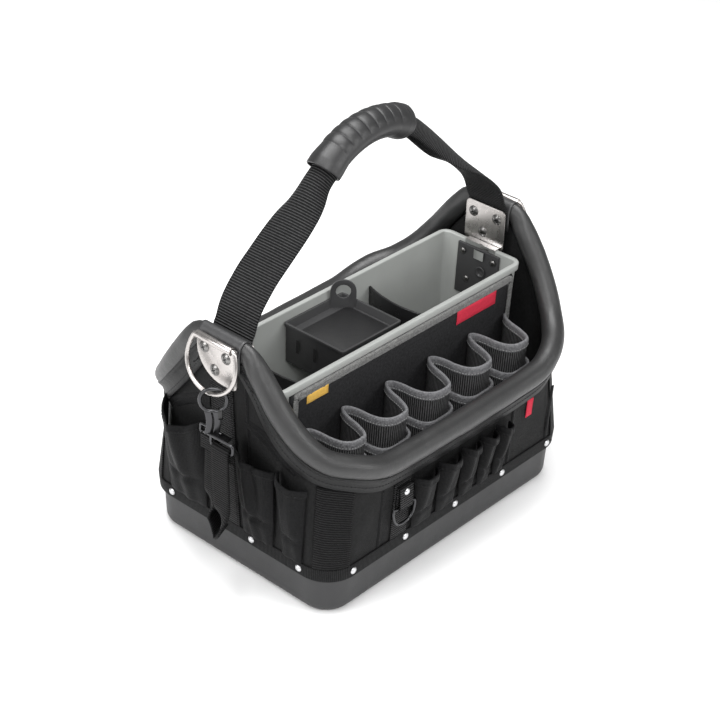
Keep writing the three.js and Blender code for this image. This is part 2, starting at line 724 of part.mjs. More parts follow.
// Snap hook on the left ring: a wire jaw, a swivel body and a lower eye, fused as one piece
const hookTilt = THREE.MathUtils.degToRad(ringRest);
const jawTop = vector(
  -(ringAxisX + ringDepth * Math.sin(hookTilt)),
  hookOffset,
  ringAxisZ - ringDepth * Math.cos(hookTilt) + ringWire / 2 + hookWire / 2 + gap + 3);
const jawLong = hookLong * 0.42;
const bodyLong = hookLong * 0.46;
{
  const across = vector(Math.cos(THREE.MathUtils.degToRad(hookTurn)), -Math.sin(THREE.MathUtils.degToRad(hookTurn)), 0);
  const jaw = [];
  for (let k = 0; k < 16; k += 1) {
    const angle = (k / 16) * 2 * Math.PI;
    const wide = hookWide * Math.sign(Math.sin(angle)) * Math.abs(Math.sin(angle)) ** 0.8;
    jaw.push(jawTop.clone().addScaledVector(across, wide)
      .add(vector(0, 0, -(jawLong / 2) * (1 - Math.cos(angle)))));
  }
  // two flat bars side by side make the body
  const bodyTop = jawTop.z - jawLong + 1;
  const bodyBottom = bodyTop - bodyLong;
  const barWide = 7;
  const bodies = [-0.5, 0.5].map((share) => {
    const path = [];
    for (let k = 0; k <= 4; k += 1) {
      path.push(jawTop.clone().addScaledVector(across, share * (barWide + 0.6) - 2 + 2 * Math.sin((k / 4) * Math.PI))
        .setZ(mix(bodyTop, bodyBottom, k / 4)));
    }
    return toSolid(ribbon(path, across, barWide, 4));
  });
  // a cross piece below the bars carries two rectangular eyes, one for each end of the webbing
  const eyeHalf = loopWide / 2 + 1;
  const eyeHigh = 5;
  const eyeMiddle = bodyBottom - eyeHigh + 1;
  const eyeCorner = 3;
  const crossPath = [1.5, -1.5].map((dz) => vector(jawTop.x, jawTop.y - 5, bodyBottom + dz));
  const eyes = [-1, 1].map((sign) => ({
    x: jawTop.x + sign * eyeReach,
    y: jawTop.y - 5 + (sign * loopShift) / 2,
  }));
  const eyeBar = ({ x, y }) => {
    const eye = [];
    for (const [sy, sz, from] of [[1, 1, 0], [-1, 1, 1], [-1, -1, 2], [1, -1, 3]]) {
      for (let k = 0; k <= 2; k += 1) {
        const angle = (from + k / 2) * (Math.PI / 2);
        eye.push(vector(x,
          y + sy * (eyeHalf - eyeCorner) + eyeCorner * Math.cos(angle),
          eyeMiddle + sz * (eyeHigh - eyeCorner) + eyeCorner * Math.sin(angle)));
      }
    }
    return toSolid(bar(eye, hookWire / 2, 6, true));
  };
  const solid = toSolid(bar(jaw, hookWire / 2, 6, true)).add(bodies[0]).add(bodies[1])
    .add(toSolid(ribbon(crossPath, vector(0, 1, 0), loopShift + 8, 2 * eyeReach + hookWire)))
    .add(eyeBar(eyes[0])).add(eyeBar(eyes[1]));
  place('snap_hook', fromSolid(solid), gunmetal, 0.3, 1);
  // the webbing is turned over the lower bar of each eye and hangs between them as a loop
  const loopTop = eyeMiddle - eyeHigh;
  const turn = hookWire / 2 + gap + webbing / 2;
  const overlap = 14;
  const bend = eyeReach + turn;
  const loopLow = loopTop - loopLong + bend;
  const path = [vector(eyes[0].x + turn, eyes[0].y, loopTop - overlap)];
  for (let k = 0; k <= 5; k += 1) {
    const angle = (k / 5) * Math.PI;
    path.push(vector(eyes[0].x + turn * Math.cos(angle), eyes[0].y, loopTop + turn * Math.sin(angle)));
  }
  for (let k = 0; k <= 8; k += 1) {
    const angle = (k / 8) * Math.PI;
    path.push(vector(jawTop.x - bend * Math.cos(angle), mix(eyes[0].y, eyes[1].y, k / 8),
      loopLow - bend * Math.sin(angle)));
  }
  for (let k = 0; k <= 5; k += 1) {
    const angle = (k / 5) * Math.PI;
    path.push(vector(eyes[1].x + turn * Math.cos(angle), eyes[1].y, loopTop + turn * Math.sin(angle)));
  }
  path.push(vector(eyes[1].x - turn, eyes[1].y, loopTop - overlap));
  const loopRoom = 2 * (eyeHalf - eyeCorner - 0.5);
  place('hook_webbing', ribbon(path, vector(0, 1, 0), loopRoom, webbing), black, 0.85);
}

// Lift-out box: a tapered moulded bin with a turned-out lip
const boxHalfX = boxLength / 2 - boxLip;
const boxHalfY = boxWidth / 2 - boxLip;
const boxFloor = trayFloor + gap;

function boxRing(z, inset) {
  const t = boxTaper * clamp01(1 - z / boxTop) + inset;
  const ring = ringAt(boxHalfX - t, boxHalfY - t, Math.max(1.5, boxCorner - inset), z, 2);
  ring.forEach((p) => { p.y += boxOffset; });
  return ring;
}

place('inner_box', loft([
  boxRing(boxFloor, 4),
  boxRing(boxFloor + 4, 0),
  boxRing(boxTop - boxLipHigh, 0),
  boxRing(boxTop - boxLipHigh, -boxLip),
  boxRing(boxTop - 1, -boxLip),
  boxRing(boxTop, 1 - boxLip),
  boxRing(boxTop, boxWall - 1),
  boxRing(boxTop - 1, boxWall),
  boxRing(boxFloor + boxWall + 4, boxWall),
  boxRing(boxFloor + boxWall, boxWall + 4),
]), boxGrey, 0.5);

const boxFaceY = (z, face) => boxOffset + face * (boxHalfY - boxTaper * clamp01(1 - z / boxTop));

// Where the bands are sewn down, as shares of their length along the panel
const creases = [0, 0.177, 0.387, 0.6, 0.81, 1];

// One loop of each band, as shares of its length between two creases and of the loops' depth
const upperLoop = [
  { along: 0, out: 0 },
  { along: 0.08, out: 0.07 },
  { along: 0.125, out: 0.3 },
  { along: 0.135, out: 0.56 },
  { along: 0.19, out: 0.81 },
  { along: 0.31, out: 0.96 },
  { along: 0.48, out: 1 },
  { along: 0.65, out: 0.95 },
  { along: 0.77, out: 0.66 },
  { along: 0.85, out: 0.3 },
  { along: 0.925, out: 0.1 },
];
const lowerLoop = [
  { along: 0, out: 0.4 },
  { along: 0.07, out: 0.47 },
  { along: 0.085, out: 0.68 },
  { along: 0.125, out: 0.87 },
  { along: 0.24, out: 0.99 },
  { along: 0.48, out: 1 },
  { along: 0.64, out: 0.985 },
  { along: 0.765, out: 0.9 },
  { along: 0.845, out: 0.68 },
  { along: 0.9, out: 0.49 },
];

// Dark cloth panels on the long faces of the box, with bands of webbing sewn into tool loops
for (const [face, side] of [[-1, 'front'], [1, 'back']]) {
  const panelHigh = boxTop - boxLipHigh - 2 * gap;
  const halfPanel = boxHalfX - panelInset;
  const sheetAt = (out) => [panelLow, panelHigh].map((z) => [-1, 0, 1].map((share) => vector(
    share * halfPanel, boxFaceY(z, face) + face * out, z)));
  place(`box_panel_${side}`, between(sheetAt(gap + panelThickness), sheetAt(gap)), charcoal, 0.8);

  const panelFace = (z) => boxFaceY(z, face) + face * (gap + panelThickness + gap + webbing / 2 + 0.2);
  const bandStart = bandStartInset - halfPanel;
  const bandLong = 2 * halfPanel - bandStartInset - bandEndInset;
  const flat = (rows, step) => {
    const line = [];
    for (let k = 0; k < creases.length - 1; k += 1) {
      for (const row of rows) {
        line.push([bandStart + bandLong * mix(creases[k], creases[k + 1], row.along), step + bandDepth * row.out]);
      }
    }
    line.push([bandStart + bandLong, step + bandDepth * rows[0].out]);
    return line;
  };
  const band = (name, low, high, line) => {
    const last = line.length - 1;
    const sheets = [1, -1].map((sign) => [low, high].map((z) => line.map(([x, out], k) => {
      const [a, b] = [line[Math.max(0, k - 1)], line[Math.min(last, k + 1)]];
      const length = Math.hypot(b[0] - a[0], b[1] - a[1]);
      const shift = (sign * webbing) / 2 / length;
      const place2 = x - (b[1] - a[1]) * shift;
      return vector(face < 0 ? place2 : -place2, panelFace(z) + face * (out + (b[0] - a[0]) * shift), z);
    })));
    place(name, between(sheets[0], sheets[1]), charcoal, 0.85);
  };
  band(`tool_band_${side}`, bandLow, bandTop, flat(upperLoop, 0));
  band(`lower_tool_band_${side}`, panelLow, bandTop - lowerBandDrop, flat(lowerLoop, webbing + gap));
}

// Blank tags sewn on the front panel
function panelTag(name, x, drop, wide, high, color) {
  const middle = boxTop - drop;
  const sheetAt = (out) => [middle - high / 2, middle + high / 2].map((z) => [-0.5, 0.5].map((share) => vector(
    x + share * wide, boxFaceY(z, -1) - gap - panelThickness - out, z)));
  place(name, between(sheetAt(gap + 1), sheetAt(gap)), color, 0.7);
}

const panelEnd = boxHalfX - panelInset;
panelTag('yellow_tag', yellowTagInset - panelEnd, yellowTagDrop, yellowTagWide, yellowTagHigh, 0xe8cf7a);
panelTag('red_tag', panelEnd - redTagInset, redTagDrop, redTagWide, redTagHigh, 0xc23a4e);

// Parts bin hung in the box, with a hanger loop at its back corner
const boxInsideY = (z) => boxHalfY - boxWall - boxTaper * clamp01(1 - z / boxTop);
const binLip = 3;
const binRecess = 9;            // its shallow tray lies this far below its top
const binFloor = 2.4;
const binBack = boxOffset + boxInsideY(binTop - binLip) - gap;
{
  const corner = 3;
  const binMiddleY = binBack - binWidth / 2;
  const binRing = (z, inset) => {
    const ring = ringAt(binLength / 2 - inset, binWidth / 2 - inset, Math.max(0.8, corner - inset), z, 4);
    ring.forEach((p) => { p.x += binPlace; p.y += binMiddleY; });
    return ring;
  };
  const lipIn = 1.6;
  const bin = loft([
    binRing(binTop - binRecess - binFloor, binWall + lipIn),
    binRing(binTop - binHigh, binWall + lipIn),
    binRing(binTop - binHigh, lipIn),
    binRing(binTop - binLip, lipIn),
    binRing(binTop - binLip, 0),
    binRing(binTop, 0),
    binRing(binTop, binWall),
    binRing(binTop - binRecess, binWall + lipIn),
  ]);
  const hanger = new THREE.Shape();
  const half = hangerWide / 2;
  hanger.moveTo(-half, 0);
  hanger.lineTo(half, 0);
  hanger.lineTo(half, hangerHigh - half);
  hanger.absarc(0, hangerHigh - half, half, 0, Math.PI);
  const hole = new THREE.Path();
  hole.absarc(0, hangerHigh - half, half - hangerRing, 0, 2 * Math.PI);
  hanger.holes.push(hole);
  // the hanger stands across the bin's corner, facing the hook end and the front
  const plate = new THREE.ExtrudeGeometry(hanger, { depth: binWall, bevelEnabled: false, curveSegments: 8 });
  const slant = Math.SQRT1_2;
  plate.applyMatrix4(new THREE.Matrix4().makeBasis(
    vector(slant, -slant, 0), vector(0, 0, 1), vector(-slant, -slant, 0)));
  const inFromCorner = (hangerWide / 2) * slant + lipIn;
  plate.translate(binPlace + binLength / 2 - inFromCorner, binBack - inFromCorner, binTop - binRecess - 1);
  place('parts_bin', fromSolid(toSolid(bin).add(toSolid(plate))), charcoal, 0.55);
}

// Two curved dividers across the box
for (const divider of [
  { name: 'divider_left', x: dividerLeftInset - boxLength / 2 },
  { name: 'divider_right', x: boxLength / 2 - dividerRightInset },
]) {
  const levels = [dividerLow, dividerTop];
  const sheetAt = (out) => levels.map((z) => Array.from({ length: 9 }, (_, k) => {
    const share = mix(-1, 1, k / 8);
    const half = boxInsideY(z) - gap - 0.1;
    return vector(divider.x - dividerBow * (1 - share * share) + out, boxOffset + share * half, z);
  }));
  place(divider.name, between(sheetAt(dividerThickness / 2), sheetAt(-dividerThickness / 2)), black, 0.5);
}

// Clip plate on the inside of the box's end, with a spring clip over the lip
{
  const inside = (z) => boxHalfX - boxWall - boxTaper * clamp01(1 - z / boxTop) - gap;
  const high = boxTop - 4;
  const rows = [high - clipPlateHigh, high];
  const sheetAt = (out) => rows.map((z) => [-0.5, 0.5].map((share) => vector(
    inside(z) - out, boxOffset + share * clipPlateWide, z)));
  place('clip_plate', between(sheetAt(clipPlateThickness), sheetAt(0)), charcoal, 0.5);
  const clipThickness = 1;
  const clipGap = gap + clipThickness / 2;
  const path = [
    vector(boxHalfX + boxLip + clipGap, boxOffset, boxTop - boxLipHigh + 1),
    vector(boxHalfX + boxLip + clipGap, boxOffset, boxTop + clipGap),
    vector(boxHalfX - boxWall - clipGap, boxOffset, boxTop + clipGap),
    vector(boxHalfX - boxWall - clipGap, boxOffset, high + gap + 0.2),
  ];
  place('box_clip', ribbon(path, vector(0, 1, 0), clipPlateWide * 0.72, clipThickness), nickel, 0.2, 1);
}

// Sides of the bag, each with the way it faces and the way that places run across it
const sideAxes = {
  left: { out: vector(-1, 0, 0), across: vector(0, -1, 0) },
  right: { out: vector(1, 0, 0), across: vector(0, -1, 0) },
  front: { out: vector(0, -1, 0), across: vector(1, 0, 0) },
  back: { out: vector(0, 1, 0), across: vector(1, 0, 0) },
};

// How far the wall's outer face stands out at a place across one side of the bag
function wallFace(side, z, across) {
  const axes = sideAxes[side];
  let best = 0;
  for (let i = 0; i < stations; i += 1) {
    const [p, q] = [wallAt(i, z), wallAt(i + 1, z)];
    const [a, b] = [p.dot(axes.across) - across, q.dot(axes.across) - across];
    if (a * b > 0 || a === b) continue;
    best = Math.max(best, mix(p.dot(axes.out), q.dot(axes.out), a / (a - b)));
  }
  return best;
}

// Section of any pocket at its foot, half way up and at its mouth, as shares of its own size
const pocketRows = [
  { height: 0, narrow: 0.08, out: 0.12, lift: 0 },
  { height: 0.54, narrow: 0.03, out: 0.62, lift: 0.5 },
  { height: 1, narrow: 0, out: 1, lift: 1 },
];

// Pocket on the outside of the bag: a sheet that bulges out from the wall between its two edges
function pocket(name, side, size) {
  const { out, across } = sideAxes[side];
  const wide = size.to - size.from;
  const sheetAt = (thick) => pocketRows.map((row) => Array.from({ length: size.columns + 1 }, (_, k) => {
    const share = k / size.columns;
    const edge = k === 0 || k === size.columns;
    const inset = thick || edge ? 0 : cloth * 0.6 * Math.sign(size.fold - share);
    const along = mix(size.from + row.narrow * wide, size.to - row.narrow * wide, share);
    const rise = share < size.fold ? share / size.fold : (1 - share) / (1 - size.fold);
    const bulge = row.out * size.bulge * Math.sin((Math.PI / 2) * rise) ** 0.7;
    const z = mix(pocketFoot, size.top, row.height) + row.lift * size.lift * share;
    const depth = wallFace(side, z, along) + 4 * gap + (thick ? cloth : 0) + bulge;
    return out.clone().multiplyScalar(depth).addScaledVector(across, along + inset).setZ(z);
  }));
  place(name, between(sheetAt(true), sheetAt(false)), black, 0.9);
}

// Row of slim pleated pockets along the front, two wide ones along the back, and three on each end
for (let k = 0; k < rowEdges.length - 1; k += 1) {
  pocket(`row_pocket_${k + 1}`, 'front', { ...rowPocket, from: rowEdges[k] + 1, to: rowEdges[k + 1] - 1 });
}
for (const size of backPockets) pocket(size.name, 'back', size);
for (const side of ['left', 'right']) {
  for (const size of endPockets) pocket(`${size.name}_${side}`, side, size);
}

// Flat pieces laid on the wall: ribbed corner webbing and the webbing under the front ring
function wallPatch(name, from, to, lowZ, highZ, thickness) {
  const levels = [0, 0.5, 1];
  const sheetAt = (out) => levels.map((t) => {
    const row = [];
    for (let i = from; i <= to; i += 1) row.push(wallAt(i, mix(lowZ, highZ(i), t), out));
    return row;
  });
  place(name, between(sheetAt(gap + thickness), sheetAt(gap)), black, 0.9);
}

const patchTop = (i) => rimZ(i) - (rimRadius + rimTail + 2) * rimFrame(i).steep;
for (const [side, name] of [[0, 'back_right'], [1, 'back_left'], [2, 'front_left'], [3, 'front_right']]) {
  const ends = [stationOf(side, cornerFrom + 3), stationOf(side, cornerTo - 1)].sort((a, b) => a - b);
  wallPatch(`corner_webbing_${name}`, ends[0], ends[1], hemLow + hemHeight + gap, patchTop, 1.5);
}

// Front ring: a webbing strip, a folded tab and a small D-ring
const smallRingX = rowEdges[0] - smallRingInset;
{
  const stripHalf = 12;
  const face = (z) => -halfWidth(z) - gap;
  const rows = [hemLow + hemHeight + gap, rimDip - rimRadius - rimTail - 2];
  const sheetAt = (out) => rows.map((z) => [-1, 1].map((share) => vector(
    smallRingX + share * stripHalf, face(z) - out, z)));
  place('ring_webbing', between(sheetAt(1.5), sheetAt(0)), black, 0.85);
  const turn = smallWire / 2 + gap + 0.8;
  const tabThickness = 1.6;
  const backY = face(smallRingZ) - 1.5 - gap - 0.1 - tabThickness / 2;
  const tabHigh = 24;
  const barY = backY - turn;
  const path = [vector(smallRingX, backY - sideFlare * tabHigh, smallRingZ + tabHigh)];
  for (let k = 0; k <= 6; k += 1) {
    const angle = (k / 6) * Math.PI;
    path.push(vector(smallRingX, barY + turn * Math.cos(angle), smallRingZ - turn * Math.sin(angle)));
  }
  path.push(vector(smallRingX, barY - turn + 1, smallRingZ + tabHigh));
  place('ring_tab', ribbon(path, vector(1, 0, 0), 19, tabThickness), black, 0.85);
  const ring = [];
  for (let k = 0; k < 16; k += 1) {
    const angle = (k / 16) * 2 * Math.PI;
    const depth = Math.sin(angle) > 0 ? -18 * Math.sin(angle) ** 0.9 : 0;
    const wide = 13.5 * Math.sign(Math.cos(angle)) * Math.abs(Math.cos(angle)) ** 0.75;
    const z = Math.sin(angle) > 0 ? smallRingZ + depth : smallRingZ;
    if (Math.sin(angle) > -0.999) ring.push(vector(smallRingX + wide, barY, z));
  }
  place('front_ring', bar(ring, smallWire / 2, 6, true), gunmetal, 0.3, 1);
}

// Vertical webbing down the outside of both ends, under the plates, and a small blank side tag
for (const end of [-1, 1]) {
  const rows = [hemLow + hemHeight + gap, 130, rimPeak - outerPlateHigh - 1];
  const sheetAt = (out) => rows.map((z) => [-1, 1].map((share) => vector(
    end * (halfLength(z) + gap + out), 6 + share * 15, z)));
  place(`end_webbing_${endName(end)}`, between(sheetAt(1.6), sheetAt(0)), black, 0.85);
}
{
  const tagX = rowEdges[rowEdges.length - 1] + sideTagInset;
  const face = (z) => -halfWidth(z) - gap;
  const sheetAt = (out) => [sideTagLow, sideTagLow + sideTagHigh].map((z) => [-0.5, 0.5].map((share) => vector(
    tagX + share * sideTagWide, face(z) - out, z)));
  place('side_tag', between(sheetAt(1), sheetAt(0)), 0xb83a44, 0.7);
}

export default group;
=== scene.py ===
import math

import bmesh
import bpy
import numpy as np
from mathutils import Matrix, Vector


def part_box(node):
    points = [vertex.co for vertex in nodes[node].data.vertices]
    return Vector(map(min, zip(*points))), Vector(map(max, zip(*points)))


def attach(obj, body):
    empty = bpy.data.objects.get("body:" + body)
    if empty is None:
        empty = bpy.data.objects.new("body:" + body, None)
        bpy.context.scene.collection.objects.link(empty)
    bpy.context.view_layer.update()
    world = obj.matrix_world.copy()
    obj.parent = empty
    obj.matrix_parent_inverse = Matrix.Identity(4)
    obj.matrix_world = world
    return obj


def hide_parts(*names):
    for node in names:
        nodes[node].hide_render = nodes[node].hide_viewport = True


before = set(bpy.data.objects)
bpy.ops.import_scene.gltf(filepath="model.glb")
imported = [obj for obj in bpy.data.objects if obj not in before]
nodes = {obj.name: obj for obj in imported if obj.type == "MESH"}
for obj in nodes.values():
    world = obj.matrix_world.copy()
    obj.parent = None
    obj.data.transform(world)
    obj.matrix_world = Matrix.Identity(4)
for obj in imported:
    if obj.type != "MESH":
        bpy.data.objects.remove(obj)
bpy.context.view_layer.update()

# Camera and light
# The camera stands off the hook end's corner at the photograph's height and angle. Large soft
# panels and a pale floor light the bag, so that the black cloth keeps its folds.
CAMERA_LENS, CAMERA_PLACE = 95.37, (-1.26633, -1.09481, 1.21681)
CAMERA_RIGHT, CAMERA_BACK = (0.6715, -0.7403, 0.0336), (-0.6396, -0.5560, 0.5308)
ROOM_LIGHT = 0.38
BAG_MIDDLE = (0, 0, 0.2)
# name, place, width and height in metres, power in watts
SOFT_PANELS = (
    ("top_panel", (-0.1, 0.1, 2.2), (1.4, 1.4), 58),
    ("left_panel", (-2.0, 0.5, 1.2), (1.2, 1.2), 28),
    ("front_panel", (0.6, -2.1, 1.1), (1.2, 1.0), 20),
    ("near_panel", (-1.5, -1.7, 2.2), (1.0, 1.0), 38),
)
FLOOR_HALF, FLOOR_DROP, FLOOR_SHADE = 6, 0.0006, 0.93

camera_data = bpy.data.cameras.new("camera")
camera_data.lens = CAMERA_LENS
camera_data.sensor_width = 36.0
camera_data.clip_end = 50.0
camera = bpy.data.objects.new("camera", camera_data)
bpy.context.scene.collection.objects.link(camera)
view_right = Vector(CAMERA_RIGHT).normalized()
view_back = Vector(CAMERA_BACK).normalized()
view_up = view_back.cross(view_right).normalized()
camera.matrix_world = Matrix((
    (view_right.x, view_up.x, view_back.x, CAMERA_PLACE[0]),
    (view_right.y, view_up.y, view_back.y, CAMERA_PLACE[1]),
    (view_right.z, view_up.z, view_back.z, CAMERA_PLACE[2]),
    (0, 0, 0, 1),
))
bpy.context.scene.camera = camera
bpy.context.scene.view_settings.view_transform = "Standard"

world = bpy.data.worlds.new("studio")
bpy.context.scene.world = world
world.use_nodes = True
world.node_tree.nodes["Background"].inputs["Color"].default_value = (1, 1, 1, 1)
world.node_tree.nodes["Background"].inputs["Strength"].default_value = ROOM_LIGHT

for name, place, size, power in SOFT_PANELS:
    data = bpy.data.lights.new(name, "AREA")
    data.shape = "RECTANGLE"
    data.size, data.size_y = size
    data.energy = power
    lamp = bpy.data.objects.new(name, data)
    bpy.context.scene.collection.objects.link(lamp)
    lamp.location = place
    lamp.rotation_euler = (Vector(BAG_MIDDLE) - Vector(place)).to_track_quat("-Z", "Y").to_euler()

floor_mesh = bpy.data.meshes.new("floor")
floor_corners = [(FLOOR_HALF * x, FLOOR_HALF * y, 0) for x, y in ((-1, -1), (1, -1), (1, 1), (-1, 1))]
floor_mesh.from_pydata(floor_corners, [], [(0, 1, 2, 3)])
floor = bpy.data.objects.new("floor", floor_mesh)
bpy.context.scene.collection.objects.link(floor)
floor.location.z = -FLOOR_DROP
floor_paint = bpy.data.materials.new("floor_paint")
floor_paint.use_nodes = True
floor_surface = floor_paint.node_tree.nodes["Principled BSDF"]
floor_surface.inputs["Base Color"].default_value = (FLOOR_SHADE, FLOOR_SHADE, FLOOR_SHADE, 1)
floor_surface.inputs["Roughness"].default_value = 0.7
floor_mesh.materials.append(floor_paint)


# Moulded tray
# The tray is one moulding with a fine spark grain; its material is the pattern for all the
# moulded pieces. Every material here is made of noise and waves on the surface.
def shader(name, color, roughness, metallic=0.0):
    made = bpy.data.materials.new(name)
    made.use_nodes = True
    tree = made.node_tree
    surface = tree.nodes["Principled BSDF"]
    surface.inputs["Base Color"].default_value = (*color, 1)
    surface.inputs["Roughness"].default_value = roughness
    surface.inputs["Metallic"].default_value = metallic
    return made, tree, surface


def noise(tree, scale, detail):
    where = tree.nodes.new("ShaderNodeTexCoord")
    made = tree.nodes.new("ShaderNodeTexNoise")
    made.inputs["Scale"].default_value = scale
    made.inputs["Detail"].default_value = detail
    tree.links.new(where.outputs["Object"], made.inputs["Vector"])
    return made.outputs["Fac"]


def ramp(tree, value, low, high):
    made = tree.nodes.new("ShaderNodeMapRange")
    made.inputs["To Min"].default_value = low
    made.inputs["To Max"].default_value = high
    tree.links.new(value, made.inputs["Value"])
    return made.outputs["Result"]


def tint(tree, value, dark, light):
    made = tree.nodes.new("ShaderNodeMix")
    made.data_type = "RGBA"
    made.inputs[6].default_value = (*dark, 1)
    made.inputs[7].default_value = (*light, 1)
    tree.links.new(value, made.inputs[0])
    return made.outputs[2]


def bump(tree, surface, height, distance, strength=1.0):
    made = tree.nodes.new("ShaderNodeBump")
    made.inputs["Strength"].default_value = strength
    made.inputs["Distance"].default_value = distance
    tree.links.new(height, made.inputs["Height"])
    if surface.inputs["Normal"].is_linked:
        before = surface.inputs["Normal"].links[0].from_socket
        tree.links.new(before, made.inputs["Normal"])
    tree.links.new(made.outputs["Normal"], surface.inputs["Normal"])


def mottled(tree, surface, color, dark, light, patch, roughness, rough_patch, less, more):
    """Soft patches of a darker and a lighter shade, and finer patches of less and more gloss."""
    shades = [[min(1, c * share) for c in color] for share in (dark, light)]
    tree.links.new(tint(tree, noise(tree, patch, 4), *shades), surface.inputs["Base Color"])
    gloss = ramp(tree, noise(tree, rough_patch, 3), roughness - less, roughness + more)
    tree.links.new(gloss, surface.inputs["Roughness"])


def plastic(name, color, roughness, grain):
    made, tree, surface = shader(name, color, roughness)
    mottled(tree, surface, color, 0.86, 1.12, 22, roughness, 60, 0.07, 0.09)
    bump(tree, surface, noise(tree, 1500, 1), grain)
    return made


tray_plastic = plastic("tray_plastic", (0.021, 0.021, 0.022), 0.52, 0.00014)
MERGE_NEAR, FLAT_TURN, SHARP_TURN = 0.00001, 0.01, math.radians(35)


def softened(node, material, width):
    """The same moulding with its flat faces joined up and every sharp edge rounded off."""
    mesh = nodes[node].data.copy()
    mesh.transform(nodes[node].matrix_world)
    shape = bmesh.new()
    shape.from_mesh(mesh)
    bmesh.ops.remove_doubles(shape, verts=shape.verts, dist=MERGE_NEAR)
    bmesh.ops.dissolve_limit(shape, angle_limit=FLAT_TURN, verts=shape.verts, edges=shape.edges)
    shape.to_mesh(mesh)
    shape.free()
    mesh.polygons.foreach_set("use_smooth", [True] * len(mesh.polygons))
    mesh.materials.clear()
    mesh.materials.append(material)
    piece = bpy.data.objects.new(f"{node}_softened", mesh)
    bpy.context.scene.collection.objects.link(piece)
    made = piece.modifiers.new("edges", "BEVEL")
    made.width = width / 1000
    made.segments = 3
    made.limit_method = "ANGLE"
    made.angle_limit = SHARP_TURN
    made.harden_normals = True
    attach(piece, "bag")
    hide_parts(node)


# Cloth walls
# One coated cloth goes round the bag. It leans out, its corners open up towards the rim, and it
# sags a little between the seams. The shape of the bag is worked out here for all that follows.
BAG_HALF = (188.0, 129.0)
FLARE = (0.061, 0.05)
HEM_LOW, HEM_HIGH, TRAY_TOP = 44.5, 60.5, 60.0
HEM_CORNER, RIM_CORNER = 34.0, 78.0
RIM_DIP, RIM_PEAK, RIM_RADIUS, RIM_PINCH = 157.0, 276.0, 12.0, 7.5
CORNER_FROM, CORNER_TO = 4 / 18, 13 / 18
RIM_ALONG = (0, 0.1, 0.142, 0.189, 0.232, 0.294, 0.345, 0.398, 0.48, 0.589, 0.7, 1)
RIM_HEIGHT = (1, 0.99, 0.882, 0.73, 0.588, 0.403, 0.28, 0.195, 0.13, 0.04, 0.015, 0)
RIM_SWELL = (0, 0, 0.8, 1, 1, 1, 1, 1, 1, 1, 1, 1)
WALL_THICK, GAP = 2.0, 0.3


def half_length(z):
    return BAG_HALF[0] + FLARE[0] * (z - HEM_LOW)


def half_width(z):
    return BAG_HALF[1] + FLARE[1] * (z - HEM_LOW)


def smooth_table(keys, values, at):
    i = int(np.clip(np.searchsorted(keys, at) - 1, 0, len(keys) - 2))

    def slope(k):
        a, b = max(0, k - 1), min(len(keys) - 1, k + 1)
        return (values[b] - values[a]) / (keys[b] - keys[a])

    span = keys[i + 1] - keys[i]
    t = min(1.0, max(0.0, (at - keys[i]) / span))
    return ((2 * t**3 - 3 * t**2 + 1) * values[i] + (t**3 - 2 * t**2 + t) * span * slope(i)
            + (3 * t**2 - 2 * t**3) * values[i + 1] + (t**3 - t**2) * span * slope(i + 1))


MIDDLE = (RIM_DIP + RIM_PEAK) / 2
MID_X, MID_Y = half_length(MIDDLE), half_width(MIDDLE)
MID_ARC = RIM_CORNER * math.pi / 2
RIM_QUARTER = MID_Y - RIM_CORNER + MID_ARC + MID_X - RIM_CORNER


def quarter_of(t):
    """Share within a quarter counted from the middle of its end, and the signs of X and Y."""
    t = t % 4
    side = int(t)
    share = t - side
    sign = ((1, 1), (-1, 1), (-1, -1), (1, -1))[side]
    return (share if side % 2 == 0 else 1 - share), sign


def quarter_point(share, half_x, half_y, corner):
    if share <= CORNER_FROM:
        return half_x, share / CORNER_FROM * (half_y - corner), 1.0, 0.0
    if share >= CORNER_TO:
        return (1 - share) / (1 - CORNER_TO) * (half_x - corner), half_y, 0.0, 1.0
    angle = (share - CORNER_FROM) / (CORNER_TO - CORNER_FROM) * math.pi / 2
    c, s = math.cos(angle), math.sin(angle)
    return half_x - corner + corner * c, half_y - corner + corner * s, c, s


def outline(t, half_x, half_y, corner):
    share, (sx, sy) = quarter_of(t)
    x, y, nx, ny = quarter_point(share, half_x, half_y, corner)
    return x * sx, y * sy, nx * sx, ny * sy


def rim_share(t):
    share, _ = quarter_of(t)
    if share <= CORNER_FROM:
        return share / CORNER_FROM * (MID_Y - RIM_CORNER) / RIM_QUARTER
    if share >= CORNER_TO:
        return 1 - (1 - share) / (1 - CORNER_TO) * (MID_X - RIM_CORNER) / RIM_QUARTER
    arc = (share - CORNER_FROM) / (CORNER_TO - CORNER_FROM) * MID_ARC
    return (MID_Y - RIM_CORNER + arc) / RIM_QUARTER


def rim_z(t):
    return RIM_DIP + (RIM_PEAK - RIM_DIP) * smooth_table(RIM_ALONG, RIM_HEIGHT, rim_share(t))


def rim_half(t):
    swell = min(1.0, max(0.0, smooth_table(RIM_ALONG, RIM_SWELL, rim_share(t))))
    return RIM_PINCH + (RIM_RADIUS - RIM_PINCH) * swell


def corner_radius(z, rim):
    grow = min(1.0, max(0.0, (z - TRAY_TOP) / (rim - 30 - TRAY_TOP)))
    return HEM_CORNER + (RIM_CORNER - HEM_CORNER) * grow


def wall_at(t, z, out=0.0):
    x, y, nx, ny = outline(t, half_length(z), half_width(z), corner_radius(z, rim_z(t)))
    return np.array((x + nx * out, y + ny * out, z))


def rim_frame(t):
    z = rim_z(t)
    x, y, nx, ny = outline(t, half_length(z), half_width(z), RIM_CORNER)
    out = np.array((nx, ny, 0.0))
    before, after = t - 0.004, t + 0.004
    along = wall_at(after, rim_z(after)) - wall_at(before, rim_z(before))
    along /= np.linalg.norm(along)
    up = np.cross(along, out)
    up /= np.linalg.norm(up)
    if up[2] < 0:
        up = -up
    return np.array((x, y, z)) - out, out, up, along


